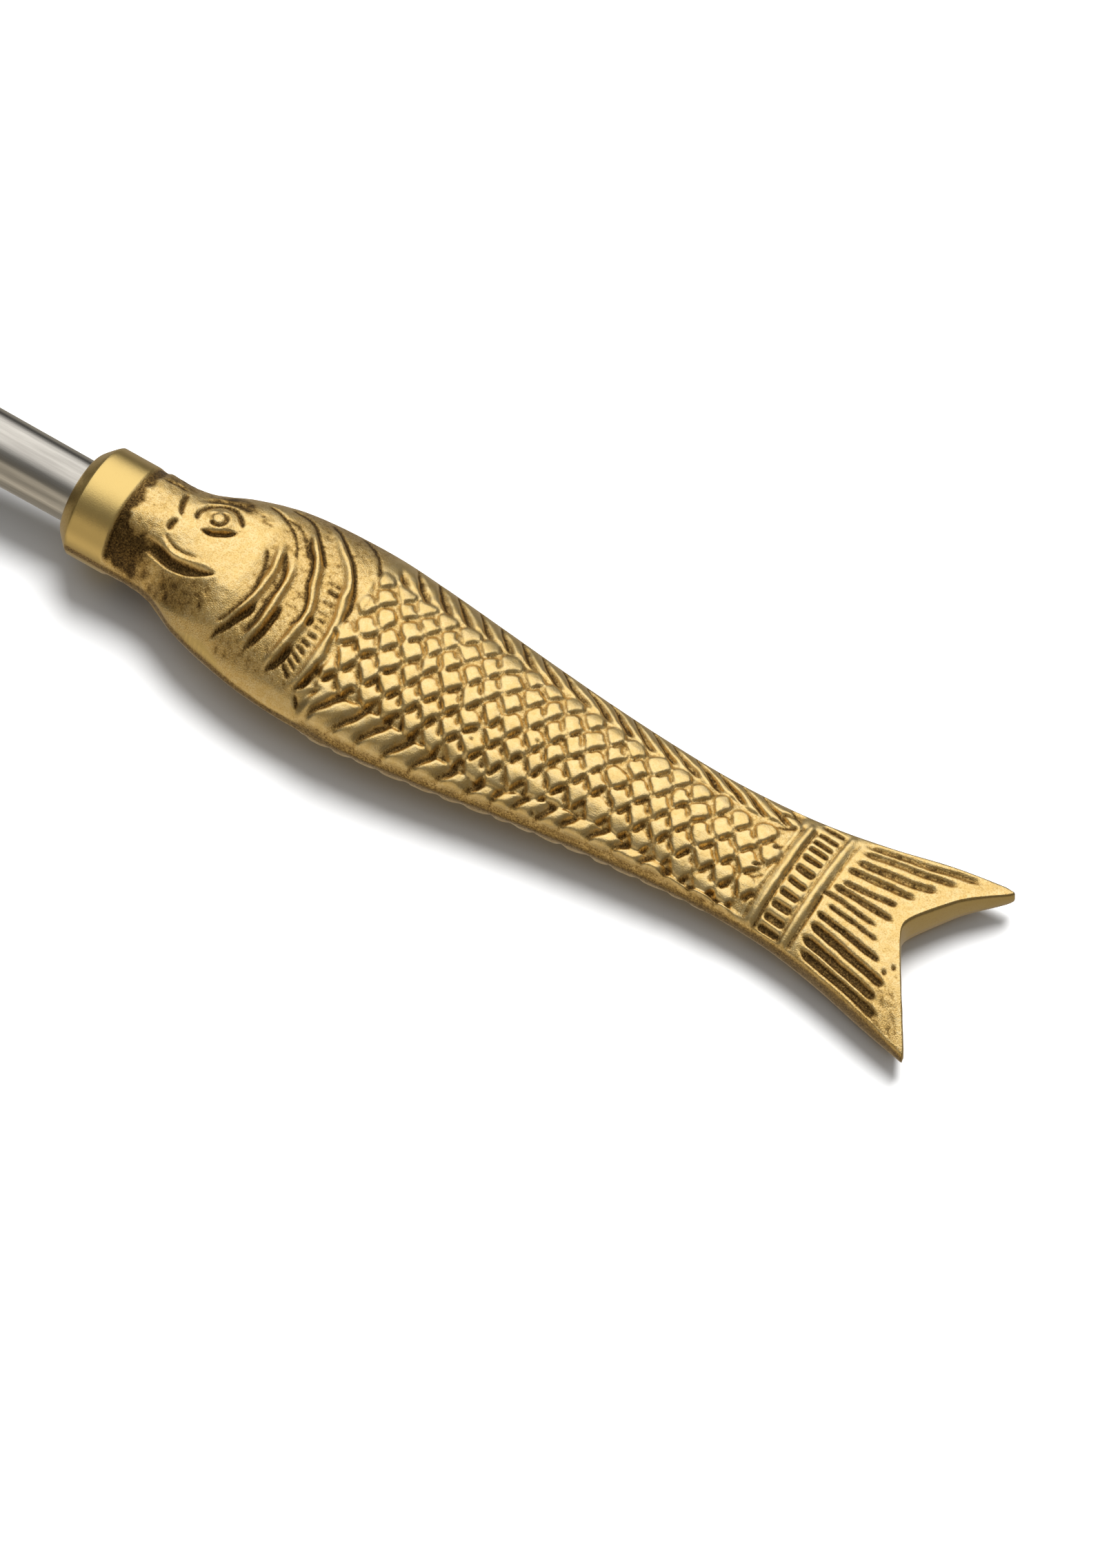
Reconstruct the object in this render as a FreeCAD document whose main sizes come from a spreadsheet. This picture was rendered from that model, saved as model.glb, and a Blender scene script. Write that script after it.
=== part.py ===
"""Souvenir bottle opener: a cast brass fish for a handle, with a steel cap lifter set in its mouth.

Frame, in millimetres: +X runs from the cap lifter to the tail, +Y towards the fish's back, +Z up.
The origin lies under the middle of the whole opener, on the plane that its collar stands on.
Every body is drawn from the centre of the collar's mouth face, and its Placement puts it in the frame.
"""
import FreeCAD, Part
import math
import os
import Sketcher

V = FreeCAD.Vector
START, END, CENTRE = 1, 2, 3
ORIGIN = (-1, START)

DIMENSIONS = {
    # the whole opener
    "overall_length": 203.2,
    "handle_length": 117.6,
    # collar, cast in one with the fish, and the blind socket in it
    "collar_diameter": 13.9,
    "collar_length": 9.0,
    "collar_chamfer": 1.7,
    "socket_diameter": 6.4,
    "socket_depth": 26.0,
    # fork between the two points of the tail
    "fork_depth": 8.6,
    "fork_width": 24.4,
    "fork_root_radius": 1.5,
    "fork_middle": 1.9,
    "fork_overrun": 2.0,
    # shank: a round bar with a thinner tang
    "tang_diameter": 6.0,
    "tang_length": 25.0,
    "tang_chamfer": 0.6,
    "shank_mouth_diameter": 7.9,
    "shank_head_diameter": 8.3,
    # weld between bar and cap lifter, in a V groove
    "weld_depth": 1.2,
    "weld_crown": 0.15,
    # cap lifter: a flat ring with a boss for the weld, and a tooth inside
    "head_length": 48.0,
    "head_width": 41.0,
    "head_thickness": 4.6,
    "head_edge_radius": 1.2,
    "neck_radius": 9.0,
    "boss_length": 4.0,
    "boss_taper": 5.0,
    "mouth_length": 26.0,
    "mouth_width": 29.5,
    "mouth_corner_radius": 8.0,
    "far_bar": 6.6,
    "tooth_reach": 4.2,
    "tooth_root": 1.0,
    "tooth_width": 11.0,
    "tooth_root_thickness": 3.0,
    "tooth_tip_thickness": 1.8,
}

# Sections of the fish. Each row: distance from the collar's face, half width, sideways shift of
# the middle (the belly hangs a little and the tail swings to the back), height of the crown
# above the middle plane, and half height of the plain wall that runs round the edge.
STATION_WORDS = ["along", "half_width", "shift", "crown", "wall"]
STATIONS = [
    (6.0, 6.85, 0.0, 6.85, 0.9),
    (12.6, 7.6, 0.0, 6.8, 1.2),
    (19.0, 9.9, 0.1, 6.6, 1.5),
    (27.0, 11.6, 0.0, 6.4, 1.5),
    (37.0, 12.0, -0.25, 6.2, 1.5),
    (51.0, 10.9, -0.35, 5.8, 1.5),
    (67.0, 8.8, -0.1, 5.1, 1.5),
    (80.0, 7.75, 0.25, 4.4, 1.6),
    (91.0, 7.7, 0.5, 3.7, 1.8),
    (103.0, 9.1, 0.7, 3.1, 2.0),
    (117.6, 12.2, 0.65, 2.3, 1.3),
]


STATION_CELLS = {
    f"station{number}_{word}": value
    for number, station in enumerate(STATIONS, 1)
    for word, value in zip(STATION_WORDS, station)
}
CELLS = {**DIMENSIONS, **STATION_CELLS}


def make_sheet(doc):
    """Put every driving dimension in a cell with a name."""
    sheet = doc.addObject("Spreadsheet::Sheet", "Dimensions")
    for row, (name, value) in enumerate(CELLS.items(), 1):
        sheet.set(f"A{row}", name)
        sheet.set(f"B{row}", str(value))
        sheet.setAlias(f"B{row}", name)
    doc.recompute()
    return sheet


def expression(rule):
    """Turn a rule in plain dimension names, such as 'tang_diameter / 2', into an expression."""
    return " ".join(f"Dimensions.{word}" if word in CELLS else word for word in rule.split())


def new_body(doc, label):
    """A body drawn from the centre of the collar's mouth face."""
    body = doc.addObject("PartDesign::Body", label)
    body.Label = label
    body.setExpression("Placement.Base.x", expression("overall_length / 2 - handle_length"))
    body.setExpression("Placement.Base.z", expression("collar_diameter / 2"))
    return body


def new_sketch(body, role, name):
    """An empty sketch on one of the body's own origin planes."""
    plane = [item for item in body.Origin.OriginFeatures if item.Role == role][0]
    sketch = body.newObject("Sketcher::SketchObject", name)
    sketch.AttachmentSupport = [(plane, "")]
    sketch.MapMode = "FlatFace"
    return sketch


def bind(sketch, rule, *constraint):
    """Add a dimension to a sketch and tie it to the sheet."""
    index = sketch.addConstraint(Sketcher.Constraint(*constraint))
    sketch.setExpression(f"Constraints[{index}]", expression(rule))


def place_point(sketch, point, x_rule, y_rule):
    """Fix a point of a sketch at x and y, each a rule, or on an axis where the rule is 0."""
    index, end = point
    now = sketch.getPoint(index, end)
    for kind, rule, axis, value in (("DistanceX", x_rule, -2, now.x), ("DistanceY", y_rule, -1, now.y)):
        if rule == "0":
            sketch.addConstraint(Sketcher.Constraint("PointOnObject", index, end, axis))
        else:
            bind(sketch, rule, kind, *ORIGIN, index, end, value)


def draw_polygon(sketch, corners):
    """A closed outline of straight edges. Each corner is a pair of rules, for x and y."""
    count = len(corners)
    for number in range(count):
        # the edges start as a regular polygon, and their rules then move the corners
        turns = [2 * math.pi * (number + step) / count for step in (0, 1)]
        first, last = [V(math.cos(turn), math.sin(turn), 0) for turn in turns]
        sketch.addGeometry(Part.LineSegment(first, last))
    for number in range(count):
        sketch.addConstraint(Sketcher.Constraint("Coincident", number, END, (number + 1) % count, START))
    for number, (x_rule, y_rule) in enumerate(corners):
        place_point(sketch, (number, START), x_rule, y_rule)


def add_arc(sketch, centre, radius, start, end):
    """An arc drawn anticlockwise between two angles in radians."""
    return sketch.addGeometry(Part.ArcOfCircle(Part.Circle(centre, V(0, 0, 1), radius), start, end))


def add_line(sketch, first, last):
    """A straight edge."""
    return sketch.addGeometry(Part.LineSegment(first, last))


def join(sketch, kind, *ends):
    """Tie the ends of two edges together: Coincident, or Tangent where they also run smoothly on."""
    sketch.addConstraint(Sketcher.Constraint(kind, *ends))


def turn_profile(body, kind, name, corners):
    """Turn a half profile, given as x and radius, about the axis: a Revolution or a Groove."""
    sketch = new_sketch(body, "XZ_Plane", name + "_profile")
    draw_polygon(sketch, corners)
    turned = body.newObject("PartDesign::" + kind, name)
    turned.Profile = sketch
    turned.ReferenceAxis = (sketch, ["H_Axis"])
    turned.Angle = 360
    return turned


def cut_through(body, sketch, name):
    """Cut a sketch on the middle plane right through the body, both ways."""
    cut = body.newObject("PartDesign::Pocket", name)
    cut.Profile = sketch
    cut.SideType = "Symmetric"
    cut.Type = "ThroughAll"
    return cut


def fish_section(body, sheet, number):
    """One section of the fish: a crown arc above and below, joined by a short plain wall each side."""
    station = f"station{number}_"
    half_width = getattr(sheet, station + "half_width")
    shift = getattr(sheet, station + "shift")
    crown = getattr(sheet, station + "crown")
    wall = getattr(sheet, station + "wall")
    sketch = new_sketch(body, "YZ_Plane", f"fish_section{number}")
    sketch.setExpression("AttachmentOffset.Base.z", expression(station + "along"))

    # the radius of an arc over a chord, from half the chord and the rise
    rise = crown - wall
    radius = (half_width**2 + rise**2) / (2 * rise)
    spread = math.asin(half_width / radius)
    up, down = math.pi / 2, 3 * math.pi / 2
    add_arc(sketch, V(shift, crown - radius, 0), radius, up - spread, up + spread)
    add_line(sketch, V(shift - half_width, wall, 0), V(shift - half_width, -wall, 0))
    add_arc(sketch, V(shift, radius - crown, 0), radius, down - spread, down + spread)
    add_line(sketch, V(shift + half_width, -wall, 0), V(shift + half_width, wall, 0))
    for edge in range(4):
        join(sketch, "Coincident", edge, END, (edge + 1) % 4, START)

    half, side, edge_height = station + "half_width", station + "shift", station + "wall"
    place_point(sketch, (0, START), f"{side} + {half}", edge_height)
    place_point(sketch, (1, START), f"{side} - {half}", edge_height)
    place_point(sketch, (2, START), f"{side} - {half}", f"-1 * {edge_height}")
    place_point(sketch, (3, START), f"{side} + {half}", f"-1 * {edge_height}")
    rise_rule = f"( {station}crown - {edge_height} )"
    radius_rule = f"( {half} ^ 2 + {rise_rule} ^ 2 ) / ( 2 * {rise_rule} )"
    for arc in (0, 2):
        bind(sketch, radius_rule, "Radius", arc, radius)
    return sketch


def make_fish_handle(doc, sheet):
    """Cast fish: lofted body, turned collar, forked tail and a blind socket for the tang."""
    body = new_body(doc, "fish_handle")
    sections = [fish_section(body, sheet, number) for number in range(1, len(STATIONS) + 1)]
    fish = body.newObject("PartDesign::AdditiveLoft", "fish")
    fish.Profile = sections[0]
    fish.Sections = sections[1:]
    fish.Ruled = True

    turn_profile(body, "Revolution", "collar", [
        ("0", "0"),
        ("collar_length", "0"),
        ("collar_length", "collar_diameter / 2"),
        ("collar_chamfer", "collar_diameter / 2"),
        ("0", "collar_diameter / 2 - collar_chamfer"),
    ])
    cut_through(body, fork_outline(body, sheet), "fork")
    turn_profile(body, "Groove", "socket", [
        ("0", "0"),
        ("socket_depth", "0"),
        ("socket_depth", "socket_diameter / 2"),
        ("0", "socket_diameter / 2"),
    ])
    return body


def fork_outline(body, sheet):
    """A V with a round root, open past the points of the tail."""
    sketch = new_sketch(body, "XY_Plane", "fork_outline")
    radius = sheet.fork_root_radius
    middle = sheet.fork_middle
    root_x = sheet.handle_length - sheet.fork_depth + radius
    mouth_x = sheet.handle_length + sheet.fork_overrun
    mouth_half = sheet.fork_width / 2 * (1 + sheet.fork_overrun / sheet.fork_depth)
    lean = math.radians(50)
    upper = V(root_x - radius * math.cos(lean), middle + radius * math.sin(lean), 0)
    lower = V(root_x - radius * math.cos(lean), middle - radius * math.sin(lean), 0)
    upper_mouth = V(mouth_x, middle + mouth_half, 0)
    lower_mouth = V(mouth_x, middle - mouth_half, 0)

    add_arc(sketch, V(root_x, middle, 0), radius, math.pi - lean, math.pi + lean)
    add_line(sketch, lower, lower_mouth)
    add_line(sketch, lower_mouth, upper_mouth)
    add_line(sketch, upper_mouth, upper)
    join(sketch, "Tangent", 0, END, 1, START)
    join(sketch, "Coincident", 1, END, 2, START)
    join(sketch, "Coincident", 2, END, 3, START)
    join(sketch, "Tangent", 3, END, 0, START)
    bind(sketch, "fork_root_radius", "Radius", 0, radius)
    place_point(sketch, (0, CENTRE), "handle_length - fork_depth + fork_root_radius", "fork_middle")
    mouth_x_rule = "handle_length + fork_overrun"
    mouth_half_rule = "fork_width / 2 * ( 1 + fork_overrun / fork_depth )"
    place_point(sketch, (2, START), mouth_x_rule, f"fork_middle - {mouth_half_rule}")
    place_point(sketch, (3, START), mouth_x_rule, f"fork_middle + {mouth_half_rule}")
    return sketch


def make_epoxy_bond(doc):
    """Adhesive that fills the socket round the tang and behind its end."""
    body = new_body(doc, "epoxy_bond")
    turn_profile(body, "Revolution", "sleeve", [
        ("0", "tang_diameter / 2"),
        ("tang_length - tang_chamfer", "tang_diameter / 2"),
        ("tang_length", "tang_diameter / 2 - tang_chamfer"),
        ("tang_length", "0"),
        ("socket_depth", "0"),
        ("socket_depth", "socket_diameter / 2"),
        ("0", "socket_diameter / 2"),
    ])
    return body


SHANK_END = "handle_length + head_length - overall_length"


def make_shank(doc):
    """Round bar, a little thicker towards the cap lifter, with a shoulder that meets the collar."""
    body = new_body(doc, "shank")
    turn_profile(body, "Revolution", "bar", [
        ("tang_length", "0"),
        ("tang_length", "tang_diameter / 2 - tang_chamfer"),
        ("tang_length - tang_chamfer", "tang_diameter / 2"),
        ("0", "tang_diameter / 2"),
        ("0", "shank_mouth_diameter / 2"),
        (f"{SHANK_END} + weld_depth", "shank_head_diameter / 2"),
        (SHANK_END, "shank_head_diameter / 2 - weld_depth"),
        (SHANK_END, "0"),
    ])
    return body


def make_weld_ring(doc):
    """Weld metal in the V groove between the bar and the boss, just proud of them."""
    body = new_body(doc, "weld_ring")
    turn_profile(body, "Revolution", "bead", [
        (SHANK_END, "shank_head_diameter / 2 - weld_depth"),
        (f"{SHANK_END} + weld_depth", "shank_head_diameter / 2"),
        (SHANK_END, "shank_head_diameter / 2 + weld_crown"),
        (f"{SHANK_END} - weld_depth", "shank_head_diameter / 2"),
    ])
    return body


HEAD_FAR_END = "handle_length - overall_length"


def ring_outline(body, sheet):
    """Outside of the cap lifter: a circle that runs into the neck through two hollow arcs."""
    sketch = new_sketch(body, "XY_Plane", "ring_outline")
    ring = sheet.head_width / 2
    hollow = sheet.neck_radius
    neck = sheet.shank_head_diameter / 2
    centre_x = sheet.handle_length - sheet.overall_length + ring
    lean = math.asin((neck + hollow) / (ring + hollow))
    hollow_x = centre_x + (ring + hollow) * math.cos(lean)
    hollow_y = neck + hollow

    add_arc(sketch, V(centre_x, 0, 0), ring, lean, 2 * math.pi - lean)
    add_arc(sketch, V(hollow_x, -hollow_y, 0), hollow, math.pi / 2, math.pi - lean)
    add_line(sketch, V(hollow_x, -neck, 0), V(hollow_x, neck, 0))
    add_arc(sketch, V(hollow_x, hollow_y, 0), hollow, math.pi + lean, 3 * math.pi / 2)
    join(sketch, "Tangent", 0, END, 1, END)
    join(sketch, "Coincident", 1, START, 2, START)
    join(sketch, "Coincident", 2, END, 3, END)
    join(sketch, "Tangent", 3, START, 0, START)
    for arc, end in ((1, START), (3, END)):
        sketch.addConstraint(Sketcher.Constraint("Vertical", arc, end, arc, CENTRE))
        bind(sketch, "neck_radius", "Radius", arc, hollow)
    bind(sketch, "head_width / 2", "Radius", 0, ring)
    place_point(sketch, (0, CENTRE), f"{HEAD_FAR_END} + head_width / 2", "0")
    bind(sketch, "shank_head_diameter / 2", "DistanceY", *ORIGIN, 2, END, neck)
    bind(sketch, "-1 * shank_head_diameter / 2", "DistanceY", *ORIGIN, 2, START, -neck)
    return sketch


def mouth_outline(body, sheet):
    """The opening for the cap: half round at the far end, with a straight side for the tooth."""
    sketch = new_sketch(body, "XY_Plane", "mouth_outline")
    half = sheet.mouth_width / 2
    corner = sheet.mouth_corner_radius
    far_x = sheet.handle_length - sheet.overall_length + sheet.far_bar
    round_x = far_x + half
    corner_x = far_x + sheet.mouth_length - corner
    near_x = corner_x + corner
    side = half - corner
    quarter = math.pi / 2

    add_arc(sketch, V(round_x, 0, 0), half, quarter, 3 * quarter)
    add_line(sketch, V(round_x, -half, 0), V(corner_x, -half, 0))
    add_arc(sketch, V(corner_x, -side, 0), corner, 3 * quarter, 4 * quarter)
    add_line(sketch, V(near_x, -side, 0), V(near_x, side, 0))
    add_arc(sketch, V(corner_x, side, 0), corner, 0, quarter)
    add_line(sketch, V(corner_x, half, 0), V(round_x, half, 0))
    for edge in range(6):
        join(sketch, "Tangent", edge, END, (edge + 1) % 6, START)
    sketch.addConstraint(Sketcher.Constraint("Horizontal", 1))
    sketch.addConstraint(Sketcher.Constraint("Vertical", 3))
    sketch.addConstraint(Sketcher.Constraint("Horizontal", 5))
    bind(sketch, "mouth_width / 2", "Radius", 0, half)
    for arc in (2, 4):
        bind(sketch, "mouth_corner_radius", "Radius", arc, corner)
    place_point(sketch, (0, CENTRE), f"{HEAD_FAR_END} + far_bar + mouth_width / 2", "0")
    bind(sketch, f"{HEAD_FAR_END} + far_bar + mouth_length", "DistanceX", *ORIGIN, 3, START, near_x)
    return sketch


def make_opener_head(doc, sheet):
    """Cap lifter: a flat ring with rounded edges, a boss that the bar is welded to, and a tooth."""
    body = new_body(doc, "opener_head")
    plate = body.newObject("PartDesign::Pad", "plate")
    plate.Profile = ring_outline(body, sheet)
    plate.SideType = "Symmetric"
    plate.setExpression("Length", expression("head_thickness"))
    cut_through(body, mouth_outline(body, sheet), "mouth")
    doc.recompute()

    rounded = body.newObject("PartDesign::Fillet", "rounded_edges")
    opened = body.Group[-2]
    rounded.Base = (opened, curved_face_edges(opened.Shape))
    rounded.setExpression("Radius", expression("head_edge_radius"))

    turn_profile(body, "Revolution", "boss", [
        (SHANK_END, "0"),
        (SHANK_END, "shank_head_diameter / 2 - weld_depth"),
        (f"{SHANK_END} - weld_depth", "shank_head_diameter / 2"),
        (f"{SHANK_END} - boss_length", "shank_head_diameter / 2"),
        (f"{SHANK_END} - boss_length - boss_taper", "head_thickness / 3"),
        (f"{SHANK_END} - boss_length - boss_taper", "0"),
    ])

    tooth_sketch = new_sketch(body, "XZ_Plane", "tooth_profile")
    bar_side = f"{HEAD_FAR_END} + far_bar + mouth_length"
    bottom = "-1 * head_thickness / 2"
    draw_polygon(tooth_sketch, [
        (f"{bar_side} + tooth_root", bottom),
        (f"{bar_side} + tooth_root", f"{bottom} + tooth_root_thickness"),
        (f"{bar_side} - tooth_reach", f"{bottom} + tooth_tip_thickness"),
        (f"{bar_side} - tooth_reach", bottom),
    ])
    tooth = body.newObject("PartDesign::Pad", "tooth")
    tooth.Profile = tooth_sketch
    tooth.SideType = "Symmetric"
    tooth.setExpression("Length", expression("tooth_width"))
    return body


def curved_face_edges(shape):
    """Names of the edges round the two flat faces, but not the straight ones across the neck."""
    chosen = []
    neck_x = max(vertex.X for vertex in shape.Vertexes)
    for number, edge in enumerate(shape.Edges, 1):
        heights = [vertex.Z for vertex in edge.Vertexes]
        level = max(heights) - min(heights) < 1e-6
        across_neck = min(vertex.X for vertex in edge.Vertexes) > neck_x - 1e-6
        if level and not across_neck:
            chosen.append(f"Edge{number}")
    return chosen


def check(doc, bodies):
    """Stop if any object failed or any body isn't one valid solid."""
    for item in doc.Objects:
        if "Invalid" in item.State or "Error" in item.State:
            raise RuntimeError(f"{item.Name} failed: {item.State}")
    for body in bodies:
        if body.Shape.isNull() or not body.Shape.isValid() or len(body.Shape.Solids) != 1:
            raise RuntimeError(f"{body.Label} is not one valid solid")


def main():
    doc = FreeCAD.newDocument("bottle_opener")
    sheet = make_sheet(doc)
    bodies = [
        make_fish_handle(doc, sheet),
        make_epoxy_bond(doc),
        make_shank(doc),
        make_weld_ring(doc),
        make_opener_head(doc, sheet),
    ]
    doc.recompute()
    check(doc, bodies)
    os.makedirs("parts", exist_ok=True)
    for body in bodies:
        body.Shape.exportStep(f"parts/{body.Label}.step")
        box = body.Shape.optimalBoundingBox()
        spans = [box.XMin, box.XMax, box.YMin, box.YMax, box.ZMin, box.ZMax]
        places = " ".join(f"{value:8.2f}" for value in spans)
        print(f"{body.Label:14s} volume {body.Shape.Volume:9.1f} mm3   box {places}")


main()
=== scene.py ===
"""The looks of the souvenir bottle opener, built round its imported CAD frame.

Lengths are worked out in millimetres and turned into metres when a mesh is made. The fish is drawn in its
own coordinates: x along its axis towards the tail, with the collar's front at FRONT, y towards the back,
and z up from its middle plane.
"""
import math
import bpy
import numpy as np
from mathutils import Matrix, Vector


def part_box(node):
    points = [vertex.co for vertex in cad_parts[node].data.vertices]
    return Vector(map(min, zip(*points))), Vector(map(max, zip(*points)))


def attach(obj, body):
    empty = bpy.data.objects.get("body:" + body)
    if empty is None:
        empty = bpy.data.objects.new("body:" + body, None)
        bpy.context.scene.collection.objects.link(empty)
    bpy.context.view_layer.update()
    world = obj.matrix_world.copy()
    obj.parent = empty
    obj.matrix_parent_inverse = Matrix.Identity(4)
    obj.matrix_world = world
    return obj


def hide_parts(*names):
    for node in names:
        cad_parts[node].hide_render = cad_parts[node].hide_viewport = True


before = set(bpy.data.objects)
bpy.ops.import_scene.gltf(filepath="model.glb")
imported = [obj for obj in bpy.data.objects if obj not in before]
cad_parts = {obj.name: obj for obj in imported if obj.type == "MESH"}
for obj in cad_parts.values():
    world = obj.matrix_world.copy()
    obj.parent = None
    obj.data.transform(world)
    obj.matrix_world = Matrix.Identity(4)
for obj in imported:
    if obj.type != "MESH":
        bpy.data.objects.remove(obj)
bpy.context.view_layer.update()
MM = 0.001


def node_span(node):
    """Lowest and highest corner of a CAD node, in millimetres."""
    low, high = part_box(node)
    return np.array(low) / MM, np.array(high) / MM


handle_low, handle_high = node_span("fish_handle")
FRONT = 1.2
COLLAR_RADIUS = (handle_high[2] - handle_low[2]) / 2
AXIS_HEIGHT = (handle_high[2] + handle_low[2]) / 2
FISH_ZERO = np.array([handle_low[0] - FRONT, 0.0, AXIS_HEIGHT])
TAIL_END = handle_high[0] - FISH_ZERO[0]

# ---------------------------------------------------------------- curves and soft steps

TINY = 1e-6
LATTICE = 97


def smooth(value, low, high):
    """0 below low, 1 above high, and an easy curve between."""
    t = np.clip((value - low) / (high - low), 0.0, 1.0)
    return t * t * (3 - 2 * t)


def through(points, x):
    """A smooth curve through a few points, each (x, value), read at x."""
    px, py = np.array(points, float).T
    step = np.diff(px)
    slope = np.diff(py) / step
    tangent = np.empty_like(py)
    tangent[0], tangent[-1] = slope[0], slope[-1]
    tangent[1:-1] = (slope[:-1] * step[1:] + slope[1:] * step[:-1]) / (step[:-1] + step[1:])
    x = np.clip(x, px[0], px[-1])
    k = np.clip(np.searchsorted(px, x, side="right") - 1, 0, len(px) - 2)
    t = (x - px[k]) / step[k]
    a, b = py[k], py[k + 1]
    ta, tb = tangent[k] * step[k], tangent[k + 1] * step[k]
    leaving = (2 * t**3 - 3 * t**2 + 1) * a + (t**3 - 2 * t**2 + t) * ta
    return leaving + (3 * t**2 - 2 * t**3) * b + (t**3 - t**2) * tb


def bend(points, steps=8):
    """More points along a smooth line through a few given ones."""
    p = np.array(points, float)
    along = np.arange(len(p), dtype=float)
    fine = np.linspace(0, len(p) - 1, (len(p) - 1) * steps + 1)
    columns = [through(np.column_stack([along, p[:, c]]), fine) for c in range(p.shape[1])]
    return np.column_stack(columns)


def value_noise(x, y, size, seed):
    """Soft random field from -1 to 1, with lumps about as wide as size."""
    local = np.random.default_rng(seed)
    lattice = local.uniform(-1, 1, (LATTICE, LATTICE))
    u, v = x / size, y / size
    iu, iv = np.floor(u).astype(int), np.floor(v).astype(int)
    fu, fv = u - iu, v - iv
    fu, fv = fu * fu * (3 - 2 * fu), fv * fv * (3 - 2 * fv)
    here_u, here_v, next_u, next_v = iu % LATTICE, iv % LATTICE, (iu + 1) % LATTICE, (iv + 1) % LATTICE
    a, b = lattice[here_u, here_v], lattice[next_u, here_v]
    c, d = lattice[here_u, next_v], lattice[next_u, next_v]
    return (a * (1 - fu) + b * fu) * (1 - fv) + (c * (1 - fu) + d * fu) * fv


def run_out(along, taper):
    """1 along the middle of a line, easing to 0 over taper of its length at each end."""
    return np.minimum(smooth(along, 0, taper + TINY), smooth(1 - along, 0, taper + TINY))


# ---------------------------------------------------------------- the fish's plain body

BACK_OUTLINE = [
    (8, 6.9), (13, 7.3), (16, 8.3), (19, 9.4), (22, 10.4), (25, 11.15), (28, 11.55), (32, 11.8),
    (37, 11.85), (43, 11.4), (52, 10.45), (60, 9.55), (68, 8.75), (76, 8.15), (84, 7.85), (90, 8.0),
    (97, 8.55), (104, 9.7), (111, 11.3), (118.8, 12.9),
]
BELLY_OUTLINE = [
    (8, 6.9), (13, 7.35), (16, 8.25), (19, 9.3), (22, 10.2), (25, 10.9), (29, 11.65), (34, 12.15),
    (40, 12.25), (46, 11.85), (55, 10.8), (64, 9.45), (73, 8.3), (82, 7.5), (91, 7.1), (99, 7.45),
    (106, 8.6), (112, 10.0), (118.8, 11.7),
]
CROWN = [
    (8, 6.85), (14, 6.8), (20, 6.6), (28, 6.4), (38, 6.2), (52, 5.8), (68, 5.1), (81, 4.4), (92, 3.7),
    (104, 3.1), (112, 2.7), (118.8, 2.0),
]
WALL = [
    (8, 0.9), (14, 1.0), (20, 1.1), (38, 0.8), (70, 0.8), (90, 1.1), (104, 1.7), (112, 1.8),
    (118.8, 1.0),
]
ROUND_ENDS, FLAT_STARTS = 8.5, 19.0
TIP_ROUND = 0.8
SHOULDER = 0.8
FORK_ROOT, FORK_MIDDLE, FORK_SOFT = 110.2, 1.9, 0.8
FORK_LEAN_BACK, FORK_LEAN_BELLY, HOOK = 0.73, 0.66, 1.75
TAIL_STARTS = 100.5


def half_widths(x):
    """Distance of the edge from the axis on the back's side and on the belly's side."""
    over = np.maximum(0.0, (x - (TAIL_END - TIP_ROUND)) / TIP_ROUND)
    drop = 0.7 * over**2
    return through(BACK_OUTLINE, x) - drop, through(BELLY_OUTLINE, x) - drop


def fork_x(y):
    """Where the tail ends, at a distance y from the axis."""
    away = np.where(y > FORK_MIDDLE, FORK_LEAN_BACK, FORK_LEAN_BELLY) * (y - FORK_MIDDLE)
    return FORK_ROOT + np.sqrt(away**2 + FORK_SOFT**2) - FORK_SOFT + HOOK * smooth(y, 7.5, 14.0)


def body_point(x, across):
    """Top face at x, with across from 1 on the back's edge to -1 on the belly's edge: y and z."""
    back, belly = half_widths(x)
    middle, half = (back - belly) / 2, (back + belly) / 2
    crown, wall = through(CROWN, x), through(WALL, x)
    flat_y = middle + half * across
    flatness = 2.2 + 0.9 * smooth(x, 15, 22) * (1 - smooth(x, 34, 44))
    flat_z = wall + (crown - wall) * np.maximum(1 - np.abs(across) ** flatness, 0.0) ** SHOULDER
    turn = across * (math.pi / 2 - np.arcsin(np.clip(wall / COLLAR_RADIUS, 0, 1)))
    round_y, round_z = COLLAR_RADIUS * np.sin(turn), COLLAR_RADIUS * np.cos(turn)
    flat = smooth(x, ROUND_ENDS, FLAT_STARTS)
    return round_y + (flat_y - round_y) * flat, round_z + (flat_z - round_z) * flat


# ---------------------------------------------------------------- the relief

FIELD_TOP = [
    (33, 8.1), (36, 7.7), (42, 7.2), (50, 7.0), (57, 6.8), (62, 6.2), (68, 5.3), (75, 5.0), (82, 5.0),
    (88, 5.2), (95, 5.9),
]
FIELD_BOTTOM = [
    (36, -9.3), (43, -8.3), (50, -8.35), (57, -8.6), (62, -8.4), (66, -7.3), (72, -6.4), (80, -6.2),
    (86, -6.4), (95, -6.8),
]
SCALES_START, SCALES_END = 37.2, 94.0


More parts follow.
